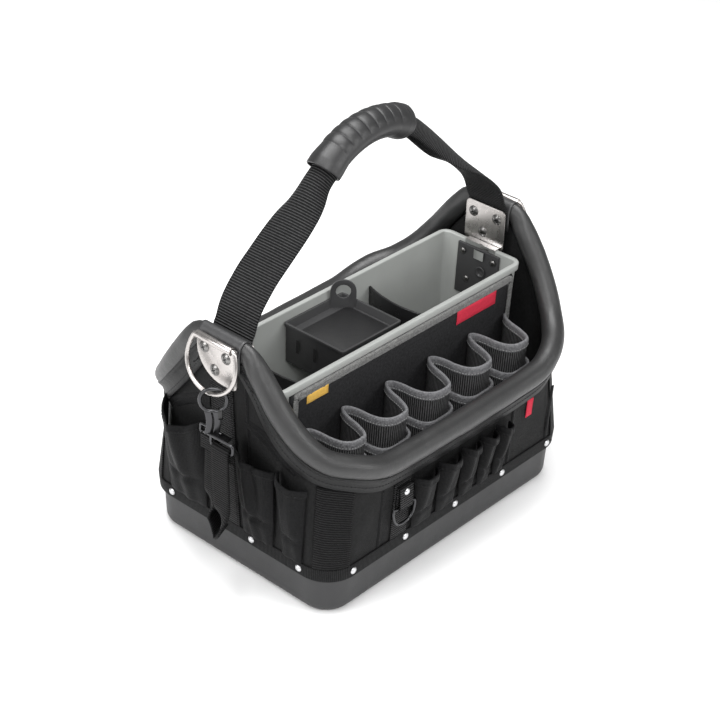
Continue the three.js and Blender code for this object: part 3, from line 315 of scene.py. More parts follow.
def lengths_along(path):
    """How far each point of a path lies from its start, along the path."""
    steps = np.linalg.norm(np.diff(np.asarray(path), axis=0), axis=1)
    return np.concatenate([[0], np.cumsum(steps)])


def new_piece(name, verts, faces, material, body, smooth=True):
    """A mesh from points in metres, riding on one body."""
    mesh = bpy.data.meshes.new(name)
    mesh.from_pydata(verts, [], faces)
    mesh.polygons.foreach_set("use_smooth", [smooth] * len(mesh.polygons))
    mesh.materials.append(material)
    piece = bpy.data.objects.new(name, mesh)
    bpy.context.scene.collection.objects.link(piece)
    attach(piece, body)
    return piece


def grid_piece(name, points, material, body="bag", thickness=0.0, loop_u=False, loop_v=False):
    """A sheet through rows of points in millimetres; u runs along a row and v from row to row."""
    points = np.asarray(points, float)
    rows, columns = points.shape[:2]
    n_v, n_u = (rows if loop_v else rows - 1), (columns if loop_u else columns - 1)
    index = np.arange(rows * columns).reshape(rows, columns)
    r, c = np.meshgrid(np.arange(n_v), np.arange(n_u), indexing="ij")
    r2, c2 = (r + 1) % rows, (c + 1) % columns
    faces = np.stack([index[r, c], index[r, c2], index[r2, c2], index[r2, c]], -1).reshape(-1, 4)
    middle_row, middle_column = points[rows // 2], points[:, columns // 2]
    u = lengths_along(np.vstack([middle_row, middle_row[:1]])) / 1000
    v = lengths_along(np.vstack([middle_column, middle_column[:1]])) / 1000
    uv = np.stack([np.stack([u[c], v[r]], -1), np.stack([u[c + 1], v[r]], -1),
                   np.stack([u[c + 1], v[r + 1]], -1), np.stack([u[c], v[r + 1]], -1)], 2).reshape(-1, 2)
    piece = new_piece(name, (points.reshape(-1, 3) / 1000).tolist(), faces.tolist(), material, body)
    layer = piece.data.uv_layers.new(name="cloth")
    layer.data.foreach_set("uv", uv.ravel())
    if thickness:
        made = piece.modifiers.new("thickness", "SOLIDIFY")
        made.thickness = thickness / 1000
        made.offset = 0.0
        made.use_even_offset = True
    return piece


# the wave texture's scale for one rib in each metre
WAVE_SCALE = 0.314159
# the painted shade in a ribbed cloth's grooves and the painted highlight on its tops, as shares of its colour
RIB_PAINTED_SHADE_AND_HIGHLIGHT = (0.15, 2.1)


def wave(tree, pitch, axis):
    """Ribs of a given pitch in metres across the cloth's own u or v."""
    where = tree.nodes.new("ShaderNodeUVMap")
    where.uv_map = "cloth"
    made = tree.nodes.new("ShaderNodeTexWave")
    made.wave_type = "BANDS"
    made.bands_direction = axis
    made.wave_profile = "SIN"
    made.inputs["Scale"].default_value = WAVE_SCALE / pitch
    tree.links.new(where.outputs["UV"], made.inputs["Vector"])
    return made.outputs["Fac"]


def cloth(name, color, roughness, thread=0.0013, depth=0.00012, ribs=None, rib_depth=0.0008, spread=(0.3, 1.9)):
    """Woven cloth: threads both ways, or ribs across one way, with a shade that varies by spread. Ribs also
    carry painted shade in their grooves and painted highlight on their tops.
    """
    made, tree, surface = shader(name, color, roughness)
    low, high = RIB_PAINTED_SHADE_AND_HIGHLIGHT if ribs else spread
    dark = [c * low for c in color]
    light = [min(1, c * high) for c in color]
    shade = noise(tree, 420, 6)
    if ribs:
        axis, pitch = ribs
        rib = wave(tree, pitch, axis)
        # the rib wave darkens the grooves and lightens the tops of the colour: painted shade and painted
        # highlight
        mixed = tree.nodes.new("ShaderNodeMath")
        mixed.operation = "MULTIPLY"
        tree.links.new(ramp(tree, rib, 0.0, 1.1), mixed.inputs[0])
        tree.links.new(ramp(tree, shade, 0.3, 1.5), mixed.inputs[1])
        tree.links.new(tint(tree, mixed.outputs[0], dark, light), surface.inputs["Base Color"])
        bump(tree, surface, rib, rib_depth)
        bump(tree, surface, wave(tree, pitch * 0.62, "Y" if axis == "X" else "X"), depth)
    else:
        tree.links.new(tint(tree, shade, dark, light), surface.inputs["Base Color"])
        bump(tree, surface, wave(tree, thread, "X"), depth)
        bump(tree, surface, wave(tree, thread, "Y"), depth)
    bump(tree, surface, noise(tree, 620, 3), depth * 2.5)
    surface.inputs["Specular IOR Level"].default_value = 0.08
    return made


def drape(p, size, seed):
    """Slow folds along a piece of cloth, the same in every run."""
    a, b, c = p[0] / 1000, p[1] / 1000, p[2] / 1000
    return size * (0.5 * math.sin(41 * a + 67 * b + 23 * c + seed)
                   + 0.3 * math.sin(97 * a - 83 * b + 61 * c + 2.1 * seed)
                   + 0.2 * math.sin(-173 * a + 151 * b + 139 * c + 3.7 * seed))


TRAY_STEPS, TRAY_TAPER, TRAY_FOOT = 240, 2.5, 11
TRAY_INSIDE = WALL_THICK + GAP
# height and inset of the tray's rows above its foot: up the outside, over the lip and down inside
TRAY_ROWS = ((12, 0), (20, 0), (35, 0), (50, 0), (59.4, 0), (60, 0.6), (60, 2.4), (59.4, 3),
             (50, 3), (30, 3), (13, 3), (8, 4), (5, 7), (4, 11))


def tray_ring(z, inset, shrink=1.0):
    taper = TRAY_TAPER * (1 - z / TRAY_TOP) + inset
    half_x, half_y = (half - TRAY_INSIDE - taper for half in BAG_HALF)
    corner = max(2, HEM_CORNER - 2 - taper)
    ring = []
    for i in range(TRAY_STEPS):
        x, y, _, _ = outline(4 * i / TRAY_STEPS, half_x, half_y, corner)
        ring.append((x * shrink, y * shrink, z))
    return ring


# the tray itself: its foot is rounded, and its rim is hidden inside the hem
tray_rows = [tray_ring(0, TRAY_FOOT, 0.02), tray_ring(0, TRAY_FOOT, 0.9)]
for turn in np.linspace(0, math.pi / 2, 9):
    tray_rows.append(tray_ring(TRAY_FOOT * (1 - math.cos(turn)), TRAY_FOOT * (1 - math.sin(turn))))
tray_rows += [tray_ring(z, inset) for z, inset in TRAY_ROWS]
tray_rows.append(tray_ring(TRAY_ROWS[-1][0], TRAY_FOOT, 0.02))
tray = grid_piece("moulded_tray", tray_rows, tray_plastic, loop_u=True)
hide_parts("base_tray")

wall_cloth = cloth("wall_cloth", (0.0105, 0.0105, 0.0107), 0.6)
WALL_STEPS, WALL_LEVELS = 288, 16
WALL_FOOT, SAG_FROM, SAG_MOST = HEM_LOW + 0.4, 66, 0.35
wall_turns = [4 * i / WALL_STEPS for i in range(WALL_STEPS)]
wall_rows = []
for level in np.linspace(0, 1, WALL_LEVELS):
    row = []
    for t in wall_turns:
        _, _, up, _ = rim_frame(t)
        top = rim_z(t) - (RIM_RADIUS + GAP) / max(0.3, up[2]) - 1.0
        z = WALL_FOOT + (top - WALL_FOOT) * level
        belly = math.sin(math.pi * level)
        p = wall_at(t, z, -WALL_THICK / 2)
        sag = drape(p, 1.1, 0.4) * belly if z > SAG_FROM else 0
        row.append(wall_at(t, z, -WALL_THICK / 2 + min(SAG_MOST, sag) - 0.25 * belly))
    wall_rows.append(row)
wall = grid_piece("cloth_wall", wall_rows, wall_cloth, thickness=WALL_THICK, loop_u=True)
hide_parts("body_wall")

# Hem strip
# A woven binding covers the foot of the walls and is riveted to the tray all the way round. The
# rivets are plated steel with low domed heads.
hem_cloth = cloth("hem_binding", (0.009, 0.009, 0.0093), 0.6, ribs=("X", 0.0019), rib_depth=0.0003)
HEM_PROFILE = ((0.5, HEM_LOW + 0.2), (1.1, HEM_LOW + 0.2), (1.6, HEM_LOW + 1.2),
               (1.6, HEM_HIGH - 1.2), (1.1, HEM_HIGH - 0.2), (0.5, HEM_HIGH - 0.2))
hem_rows = [[wall_at(t, z, out) for t in wall_turns] for out, z in HEM_PROFILE]
hem = grid_piece("hem_binding_strip", hem_rows, hem_cloth, loop_u=True, loop_v=True)
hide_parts("hem_strip")


def metal(name, color, roughness):
    made, tree, surface = shader(name, color, roughness, 1.0)
    mottled(tree, surface, color, 0.82, 1.0, 70, roughness, 180, 0.08, 0.12)
    bump(tree, surface, noise(tree, 900, 2), 0.00002)
    return made


def turned(name, profile, spots, material):
    """Turned heads, such as rivets: a profile of radius and height at each place and direction."""
    sides = 20
    verts, faces = [], []
    for place, direction in spots:
        normal = Vector(direction).normalized()
        turn = normal.to_track_quat("Z", "Y").to_matrix()
        base = len(verts)
        for radius, height in profile:
            for k in range(sides):
                angle = 2 * math.pi * k / sides
                p = turn @ Vector((radius * math.cos(angle), radius * math.sin(angle), height))
                verts.append([(p[j] + place[j]) / 1000 for j in range(3)])
        for r in range(len(profile) - 1):
            for k in range(sides):
                a, b = base + r * sides + k, base + r * sides + (k + 1) % sides
                faces.append((a, b, b + sides, a + sides))
        for ring, order in ((0, -1), (len(profile) - 1, 1)):
            faces.append(tuple(base + ring * sides + k for k in range(sides))[::order])
    return new_piece(name, verts, faces, material, "bag")


silver = metal("rivet_metal", (0.62, 0.62, 0.63), 0.3)
RIVET_HEAD = ((3.9, 0), (3.9, 0.5), (3.3, 1.2), (2.2, 1.8), (0.9, 2.1))
RIVET_Z, RIVET_OUT = 52.5, 1.4
rivet_spots = []
for x in (-155, -77.5, 0, 77.5, 155):
    for sign in (-1, 1):
        rivet_spots.append(((x, sign * (half_width(RIVET_Z) + RIVET_OUT), RIVET_Z), (0, sign, 0)))
for y in (-90, -25, 25, 90):
    for sign in (-1, 1):
        rivet_spots.append(((sign * (half_length(RIVET_Z) + RIVET_OUT), y, RIVET_Z), (sign, 0, 0)))
rivets = turned("hem_rivets", RIVET_HEAD, rivet_spots, silver)

# Padded rim
# Foam under grained vinyl, stitched shut below, with its flange sewn to the outside of the wall.
# It is thick along the sides and squeezed flat where the plates clamp it.


def vinyl(name, color, roughness, grain=0.00022, gloss=0.75):
    """Grained vinyl: small cells with creases between them, over slow unevenness."""
    made, tree, surface = shader(name, color, roughness)
    where = tree.nodes.new("ShaderNodeTexCoord")
    cells = tree.nodes.new("ShaderNodeTexVoronoi")
    cells.feature = "DISTANCE_TO_EDGE"
    cells.inputs["Scale"].default_value = 620
    tree.links.new(where.outputs["Object"], cells.inputs["Vector"])
    mottled(tree, surface, color, 0.8, 1.25, 38, roughness, 90, 0.08, 0.1)
    bump(tree, surface, ramp(tree, cells.outputs["Distance"], 0, 1), grain)
    bump(tree, surface, noise(tree, 130, 3), 0.0007, 0.6)
    surface.inputs["Specular IOR Level"].default_value = gloss
    return made


rim_vinyl = vinyl("rim_vinyl", (0.014, 0.014, 0.0142), 0.42, gloss=0.6)
RIM_STEPS, TUBE_SIDES = 320, 28
SEWN_AT, SEWN_WIDE, SEWN_DEEP = 1.56 * math.pi, 0.22, 0.10
tube_rows, flange_rows = [], []
for i in range(RIM_STEPS):
    t = 4 * i / RIM_STEPS
    centre, out, up, along = rim_frame(t)
    half = rim_half(t)
    soft = 1 + 0.018 * math.sin(37.7 * t + 1) * math.sin(11 * t) if half > 10 else 1
    ring = []
    for k in range(TUBE_SIDES):
        angle = 2 * math.pi * k / TUBE_SIDES
        n, u = half * soft * math.cos(angle), RIM_RADIUS * soft * math.sin(angle)
        # the cover is pulled in where it is sewn, under the tube and outside the wall
        pull = SEWN_DEEP * math.exp(-(((angle - SEWN_AT) / SEWN_WIDE) ** 2))
        ring.append(centre + out * n * (1 - pull) + up * u * (1 - pull))
    tube_rows.append(ring)
    # the flange hugs the tube from below and then lies against the wall
    hug = [(half * 0.72 + 0.3, -RIM_RADIUS * 0.7), (half * 0.5 + 0.5, -RIM_RADIUS * 0.9)]
    lie = [(n, -RIM_RADIUS - down) for n, down in ((4.2, 1.4), (3.1, 4.5), (2.7, 8), (2.6, 13.6))]
    flange_rows.append([centre + out * n + up * u for n, u in hug + lie])
rim = grid_piece("padded_rim", tube_rows, rim_vinyl, loop_u=True, loop_v=True)
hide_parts("rim_tube")
flange_vinyl = vinyl("flange_vinyl", (0.0060, 0.0060, 0.0062), 0.5, gloss=0.25)
flange = grid_piece("rim_flange", flange_rows, flange_vinyl, thickness=1.6, loop_v=True)


THREAD_SECTION = ((-0.5, -0.3), (0.5, -0.3), (0.3, 0.35), (-0.3, 0.35))


def stitches(name, path, normals, material, pitch=4.2, length=2.9, width=0.75):
    """A row of stitches along a path in millimetres: short raised threads, one piece for the row."""
    path, normals = np.asarray(path, float), np.asarray(normals, float)
    far = lengths_along(path)

    def read(values, at):
        return np.array([np.interp(at, far, values[:, j]) for j in range(3)])

    verts, faces = [], []
    for s in np.arange(pitch / 2, far[-1] - pitch / 2, pitch):
        n = read(normals, s)
        n /= np.linalg.norm(n) or 1
        a, b = read(path, s - length / 2), read(path, s + length / 2)
        side = np.cross(b - a, n)
        side /= np.linalg.norm(side) or 1
        base = len(verts)
        for p, size in ((a, 0.25), (a * 0.75 + b * 0.25, 1), (a * 0.25 + b * 0.75, 1), (b, 0.25)):
            for w, h in THREAD_SECTION:
                verts.append((p + side * w * width * size + n * h * width * size) / 1000)
        for r in range(3):
            for k in range(4):
                p, q = base + r * 4 + k, base + r * 4 + (k + 1) % 4
                faces.append((p, q, q + 4, p + 4))
        faces.append(tuple(base + k for k in (3, 2, 1, 0)))
        faces.append(tuple(base + 12 + k for k in range(4)))
    return new_piece(name, [tuple(v) for v in verts], faces, material, "bag")


pale_thread = cloth("pale_thread", (0.21, 0.21, 0.21), 0.6)
dark_thread = cloth("dark_thread", (0.016, 0.016, 0.0165), 0.55)
seam, seam_out = [], []
for i in range(RIM_STEPS + 1):
    centre, out, up, along = rim_frame(4 * i / RIM_STEPS)
    seam.append(centre + out * 3.6 + up * (-RIM_RADIUS - 8.5))
    seam_out.append(out)
row = stitches("rim_stitches", seam, seam_out, dark_thread)

# Sleeves over the rim between the plates
# A short wrap of smooth vinyl covers the squeezed rim at each end, under the two plates that
# clamp it.
SLEEVE_HALF, SLEEVE_DROP, SLEEVE_THICK = 28.5, 18.0, 1.2
ENDS = ((-1, "left"), (1, "right"))
RIM_END = half_length(RIM_PEAK) - 1
SLEEVE_WIDE, SLEEVE_HIGH = RIM_PINCH + 0.9, RIM_RADIUS + 0.9
sleeve_vinyl = vinyl("sleeve_vinyl", (0.018, 0.018, 0.019), 0.48, 0.00012)
for end, side in ENDS:
    profile = [(SLEEVE_WIDE, -SLEEVE_DROP), (SLEEVE_WIDE, -9)]
    profile += [(SLEEVE_WIDE * math.cos(a), SLEEVE_HIGH * math.sin(a)) for a in np.linspace(0, math.pi, 17)]
    profile += [(-SLEEVE_WIDE, -9), (-SLEEVE_WIDE, -SLEEVE_DROP)]
    rows = []
    for y in np.linspace(GAP - SLEEVE_HALF, SLEEVE_HALF - GAP, 25):
        rows.append([(end * (RIM_END + n), y, RIM_PEAK + u) for n, u in profile])
    sleeve = grid_piece(f"sleeve_{side}", rows, sleeve_vinyl, thickness=1.1)
    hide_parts(f"rim_sleeve_{side}")

# Plates and their screws
# Nickel-plated steel clamps the strap and the rim. Each outer plate is rolled over the ring's bar.
nickel = metal("satin_nickel", (0.50, 0.475, 0.46), 0.27)
# the dark screw crosses are painted shade: dark bars in place of the shadow in each cross recess
screw_cross_painted_shade = metal("screw_cross_painted_shade", (0.03, 0.03, 0.03), 0.5)
screw_metal = metal("screw_metal", (0.22, 0.215, 0.21), 0.28)
STRAP_HALF, PLATE_THICK = 1.0, 1.5
PLATE_OUT = RIM_END + RIM_PINCH + GAP + SLEEVE_THICK + GAP
STRAP_X = RIM_END - RIM_PINCH - GAP - SLEEVE_THICK - GAP - STRAP_HALF
INNER_X = STRAP_X - STRAP_HALF - GAP - PLATE_THICK
for _, side in ENDS:
    softened(f"inner_plate_{side}", nickel, 0.35)
    softened(f"outer_plate_{side}", nickel, 0.35)
PAN_HEAD = ((6.0, 0), (6.0, 0.5), (5.0, 0.6), (4.6, 1.3), (2.8, 1.9), (0.8, 2.1))
# across and up, as the screws lie in the photograph
OUTER_SCREWS = ((16.6, 270), (-12.5, 268.6), (2.6, 250))
INNER_SCREWS = ((16, 268), (-15.5, 269), (2, 248))
CROSS_ARM, CROSS_WIDE, CROSS_TOP, CROSS_DEEP = 3.0, 1.2, 2.2, 0.8
BLOCK_FACES = ((3, 2, 1, 0), (4, 5, 6, 7), (0, 1, 5, 4), (1, 2, 6, 5), (2, 3, 7, 6), (3, 0, 4, 7))


def cross_recess(name, spots, material):
    """The cross in each screw head: two thin dark bars set into the dome, painted shade that stands in for the
    recess.
    """
    verts, faces = [], []
    for place, direction in spots:
        turn = Vector(direction).normalized().to_track_quat("Z", "Y").to_matrix() @ Matrix.Rotation(0.5, 3, "Z")
        for a, b in ((CROSS_ARM, CROSS_WIDE / 2), (CROSS_WIDE / 2, CROSS_ARM)):
            base = len(verts)
            low = [(x, y, CROSS_TOP - CROSS_DEEP) for x, y in ((-a, -b), (a, -b), (a, b), (-a, b))]
            high = [(x * 0.8, y, CROSS_TOP) for x, y, _ in low]
            for corner in low + high:
                p = turn @ Vector(corner)
                verts.append([(p[j] + place[j]) / 1000 for j in range(3)])
            for f in BLOCK_FACES:
                faces.append(tuple(base + k for k in f))
    return new_piece(name, verts, faces, material, "bag", smooth=False)


for end, side in ENDS:
    spots = [((end * (PLATE_OUT + 1.4), y, z), (end, 0, 0)) for y, z in OUTER_SCREWS]
    spots += [((end * (INNER_X + 0.1), y, z), (-end, 0, 0)) for y, z in INNER_SCREWS]
    heads = turned(f"screw_heads_{side}", PAN_HEAD, spots, screw_metal)
    crosses = cross_recess(f"screw_crosses_{side}", spots, screw_cross_painted_shade)

# Large rings
# Plated round wire, bent to a ring: straight through the outer plate's roll and bowed below it.
# Each ring swings on its straight bar.
RING_WIRE, RING_PLAY = 2.2, 0.4
RING_X, RING_Z = PLATE_OUT + PLATE_THICK + RING_WIRE + RING_PLAY, RIM_PEAK + 6.5
RING_BAR, RING_WIDE, RING_BULGE, RING_DEPTH, RING_LEAN = 26.0, 32.0, 22.0, 51.0, math.radians(12)
WIRE_SIDES = 14


def wire(name, path, radius, material, body):
    """A closed ring of round wire through a path in millimetres."""
    path = np.asarray(path, float)
    rows = []
    for i, p in enumerate(path):
        before, after = path[i - 1], path[(i + 1) % len(path)]
        along = (after - before) / np.linalg.norm(after - before)
        reference = np.array((0, 1.0, 0)) if abs(along[0]) > 0.9 else np.array((1.0, 0, 0))
        u = np.cross(reference, along)
        u /= np.linalg.norm(u)
        v = np.cross(along, u)
        rows.append([p + radius * (math.cos(a) * u + math.sin(a) * v)
                     for a in np.linspace(0, 2 * math.pi, WIRE_SIDES, endpoint=False)])
    return grid_piece(name, rows, material, body=body, loop_u=True, loop_v=True)


def ring_outline():
    """Across and down from the bar: the bar, one shoulder, the bow and the other shoulder."""
    tall = RING_BULGE / math.sqrt(1 - (RING_BAR / RING_WIDE) ** 2)
    start = math.asin(RING_BULGE / tall)
    bow = RING_DEPTH - RING_BULGE
    shoulder = [(RING_WIDE * math.cos(a), RING_BULGE - tall * math.sin(a))
                for a in np.linspace(start * 0.97, start * 0.1, 12)]
    flat = [(y, 0.0) for y in np.linspace(-RING_BAR * 0.95, RING_BAR * 0.95, 9)]
    flat += shoulder
    flat += [(RING_WIDE * math.cos(a), RING_BULGE + bow * math.sin(a)) for a in np.linspace(0, math.pi, 40)]
    return flat + [(-y, down) for y, down in reversed(shoulder)]


for end, side in ENDS:
    path = [(end * (RING_X + down * math.sin(RING_LEAN)), y, RING_Z - down * math.cos(RING_LEAN))
            for y, down in ring_outline()]
    ring = wire(f"ring_wire_{side}", path, RING_WIRE, nickel, f"ring_{side}")
    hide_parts(f"d_ring_{side}")

# Snap hook and its webbing loop
# A wire jaw on the left ring, two bowed bars below it, and a cross piece with one eye for each end
# of the webbing. The webbing hangs as a loop whose two layers lie a little apart along the end.
gunmetal = metal("gunmetal", (0.065, 0.065, 0.068), 0.3)
RING_LOW_X = RING_X + RING_DEPTH * math.sin(RING_LEAN)
RING_LOW_Z = RING_Z - RING_DEPTH * math.cos(RING_LEAN)
JAW = np.array((-RING_LOW_X, -9.0, RING_LOW_Z + 7.1))
JAW_HALF, JAW_WIRE = (13, 12.2), 1.9
HOOK_TURN = math.radians(48)
SIDEWAYS = np.array((math.cos(HOOK_TURN), -math.sin(HOOK_TURN), 0))
DOWN = np.array((0, 0, -1.0))
ROD_ENDS = (0.02, 0.8, 1)


def rod(name, path, across, half_wide, half_thick, material, body):
    """A bar with a rounded flat section, closed at both ends."""
    path = np.asarray(path, float)
    path = np.vstack([path[:1], path[:1], path, path[-1:], path[-1:]])
    rows = []
    for i, p in enumerate(path):
        along = path[min(len(path) - 1, max(3, i + 1))] - path[max(0, min(len(path) - 4, i - 1))]
        normal = np.cross(along, across)
        normal /= np.linalg.norm(normal)
        size = ROD_ENDS[min(i, len(path) - 1 - i, 2)]
        row = []
        for a in np.linspace(0, 2 * math.pi, 24, endpoint=False):
            c, d = math.cos(a), math.sin(a)
            row.append(p + across * half_wide * size * math.copysign(abs(c) ** 0.5, c)
                       + normal * half_thick * size * math.copysign(abs(d) ** 0.5, d))
        rows.append(row)
    return grid_piece(name, rows, material, body=body, loop_u=True)


jaw = []
for a in np.linspace(0, 2 * math.pi, 56, endpoint=False):
    wide = JAW_HALF[0] * math.copysign(abs(math.sin(a)) ** 0.8, math.sin(a))
    jaw.append(JAW + SIDEWAYS * wide + DOWN * JAW_HALF[1] * (1 - math.cos(a)))
hook_jaw = wire("hook_jaw", jaw, JAW_WIRE, gunmetal, "hook")
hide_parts("snap_hook")
BODY_TOP, BODY_LOW = JAW[2] - 23.4, JAW[2] - 50.0
# half the width and half the thickness of the hook's bars, latch and cross piece
BAR_HALF, LATCH_HALF, CROSS_HALF = (3.3, 2.0), (2.4, 2.4), (5.4, 1.5)
for k, aside in enumerate((-3.8, 3.8)):
    path = []
    for t in np.linspace(0, 1, 13):
        q = JAW + SIDEWAYS * (aside - 2 + 2 * math.sin(math.pi * t))
        q[2] = BODY_TOP + (BODY_LOW - BODY_TOP) * t
        path.append(q)
    piece = rod(f"hook_bar_{k}", path, SIDEWAYS, *BAR_HALF, gunmetal, "hook")
latch_metal = metal("latch", (0.05, 0.05, 0.05), 0.35)
latch = [JAW + SIDEWAYS * 6.5 + DOWN * down for down in (22, 24, 30, 33)]
piece = rod("hook_latch", latch, SIDEWAYS, *LATCH_HALF, latch_metal, "hook")
LOOP_MIDDLE = -13.5
EYES = ((JAW[0] - 4.2, LOOP_MIDDLE - 11), (JAW[0] + 3.2, LOOP_MIDDLE + 11))
EYE_Z, EYE_HALF, EYE_CORNER, EYE_WIRE = BODY_LOW - 4.0, (11.5, 2), 3, 1.6
cross_path = [(JAW[0], y, BODY_LOW) for y in (-28, -20, -14, -8, 0.5)]
cross = rod("hook_cross_piece", cross_path, np.array((1.0, 0, 0)), *CROSS_HALF, gunmetal, "hook")
for k, (ex, ey) in enumerate(EYES):
    path = []
    for sy, sz, start in ((1, 1, 0), (-1, 1, 1), (-1, -1, 2), (1, -1, 3)):
        for t in np.linspace(0, 1, 7):
            a = (start + t) * math.pi / 2
            path.append((ex, ey + sy * EYE_HALF[0] + EYE_CORNER * math.cos(a),
                         EYE_Z + sz * EYE_HALF[1] + EYE_CORNER * math.sin(a)))
    piece = wire(f"hook_eye_{k}", path, EYE_WIRE, gunmetal, "hook")
hook_webbing = cloth("hook_webbing", (0.0065, 0.0065, 0.0067), 0.55, ribs=("Y", 0.0025), rib_depth=0.0010)
LOOP_TOP, LOOP_TURN = EYE_Z - 5.0, 2.9
LOOP_BEND = 4.2 + LOOP_TURN
LOOP_DROP, LOOP_HALF, LOOP_TAIL = 11.0, 11, 14
LOOP_LOW = LOOP_TOP - 104 + LOOP_DROP
LOOP_TWIST, TWIST_FROM = math.radians(68), LOOP_TOP - 10


def over_eye(eye):
    x, y = eye
    return [(x + LOOP_TURN * math.cos(a), y, LOOP_TOP + LOOP_TURN * math.sin(a))
            for a in np.linspace(0, math.pi, 11)]


# the webbing's path: up inside the near eye, over it, down, round the bend, up and over the far eye
near_eye, far_eye = EYES
path = [(near_eye[0] + LOOP_TURN, near_eye[1], LOOP_TOP - LOOP_TAIL)] + over_eye(near_eye)
path += [(near_eye[0] - LOOP_TURN, near_eye[1], z) for z in np.linspace(LOOP_TOP - 8, LOOP_LOW + 8, 14)]
for t in np.linspace(0, 1, 17):
    y = near_eye[1] + (far_eye[1] - near_eye[1]) * t
    path.append((JAW[0] - LOOP_BEND * math.cos(t * math.pi), y, LOOP_LOW - LOOP_DROP * math.sin(t * math.pi)))
path += [(far_eye[0] + LOOP_TURN, far_eye[1], z) for z in np.linspace(LOOP_LOW + 8, LOOP_TOP - 8, 14)]
path += over_eye(far_eye) + [(far_eye[0] - LOOP_TURN, far_eye[1], LOOP_TOP - LOOP_TAIL)]
loop_rows = []
for x, y, z in path:
    # the loop turns as it hangs, so that its bend is seen from the side
    fall = min(1.0, max(0.0, (TWIST_FROM - z) / (TWIST_FROM - LOOP_LOW)))
    late = max(0.0, (fall - 0.66) / 0.34)
    turn = LOOP_TWIST * late * late * (3 - 2 * late)
    y += 0.3 * fall * (y - LOOP_MIDDLE)
    loop_rows.append([(x + w * math.sin(turn), y + w * math.cos(turn), z)
                      for w in np.linspace(-LOOP_HALF, LOOP_HALF, 7)])
loop = grid_piece("hook_webbing_loop", loop_rows, hook_webbing, body="hook", thickness=2.0)
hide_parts("hook_webbing")

# Carry strap
# Heavy ribbed webbing comes up inside each end, leaves the rim between the plates and is folded
# round a ridge where it enters the grip. The plain end is folded further down than the hook end.
strap_webbing = cloth("strap_webbing", (0.024, 0.024, 0.0245), 0.5, ribs=("Y", 0.0027), rib_depth=0.0022)
STRAP_WIDTH, STRAP_FOOT, FOLD_BEND, FOLD_LIFT = 50.8, 66.0, 2.0, 9.5
GRIP_CHORD, GRIP_RISE, GRIP_TOP, GRIP_SHIFT = 56.0, 18.0, 437.0, -5.0
GRIP_MIDDLE = -math.radians(8)
GRIP_RADIUS = (GRIP_CHORD**2 + GRIP_RISE**2) / (2 * GRIP_RISE)
GRIP_ANGLE = math.asin(GRIP_CHORD / GRIP_RADIUS)
STRAP_ENTRY = 5.6
STRAP_REACH = (0.97, 0.93, 0.874, 0.739, 0.6, 0.45, 0.326, 0.199, 0.09)
STRAP_RISE = (0.103, 0.199, 0.28, 0.413, 0.52, 0.635, 0.738, 0.85, 0.94)
STRAP_FOLD = {
    "left": (0, 0, 0, 0, 0.04, 0.12, 0.3, 0.65, 0.95),
    "right": (0, 0, 0.03, 0.15, 0.4, 0.75, 0.95, 1, 1),
}
ACROSS = np.array((0, 1.0, 0))


def grip_at(angle, radius=GRIP_RADIUS):
    centre_z = GRIP_TOP - GRIP_RADIUS
    return np.array((GRIP_SHIFT + radius * math.sin(angle), 0, centre_z + radius * math.cos(angle)))


def strap_inside(z):
    """How far from the bag's middle the strap lies inside its end, clear of the leaning wall."""
    return min(STRAP_X, half_length(z) - WALL_THICK - GAP - STRAP_HALF)


def eased(points, count):
    """A smooth curve through rows of numbers, sampled evenly by length."""
    points = np.asarray(points, float)
    far = lengths_along(points[:, :3])
    return np.array([[smooth_table(far, points[:, j], s) for j in range(points.shape[1])]
                     for s in np.linspace(0, far[-1], count)])


for end, side in ENDS:
    socket = grip_at(GRIP_MIDDLE + end * GRIP_ANGLE)
    entry = grip_at(GRIP_MIDDLE + end * (GRIP_ANGLE - STRAP_ENTRY / GRIP_RADIUS))
    rows = [(end * strap_inside(z), 0, z, 0) for z in (STRAP_FOOT, 140, 190, 230)]
    rows += [(end * STRAP_X, 0, 258, 0), (end * STRAP_X, 0, RIM_PEAK + 6, 0)]
    for reach, rise, fold in zip(STRAP_REACH, STRAP_RISE, STRAP_FOLD[side]):
        x = socket[0] + (end * STRAP_X - socket[0]) * reach
        rows.append((x, 0, RIM_PEAK + (socket[2] - RIM_PEAK) * rise, fold))
    rows.append((entry[0], 0, entry[2], 1))
    path = eased(rows, 110)
    sheet_rows = []
    for i, p in enumerate(path):
        along = path[min(i + 1, len(path) - 1)][:3] - path[max(i - 1, 0)][:3]
        along /= np.linalg.norm(along)
        down = np.cross(ACROSS, along)
        if down @ np.array((-end, 0, -1.0)) < 0:
            down = -down
        fold = min(1, max(0, p[3]))
        bend = max(0.001, fold * FOLD_BEND)
        reach = STRAP_WIDTH / 2 / bend
        line = []
        for a in np.linspace(-1, 1, 21) * bend:
            low = reach * (1 - math.cos(a)) - fold * FOLD_LIFT
            line.append(p[:3] + ACROSS * reach * math.sin(a) + down * low)
        sheet_rows.append(line)
    strap = grid_piece(f"strap_webbing_{side}", sheet_rows, strap_webbing, thickness=2 * STRAP_HALF)
    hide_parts(f"strap_{side}")

# Grip
# Moulded rubber: a smooth collar and an open socket at each end, and between them eight finger
# ribs over the top that fade out down its sides.
grip_rubber = plastic("grip_rubber", (0.013, 0.013, 0.0135), 0.42, 0.0001)
RIB_FROM, RIB_TO, RIBS = -0.62, 0.86, 8
GRIP_WIDE, GRIP_TALL, GRIP_SIDES = 18.2, 16.6, 56
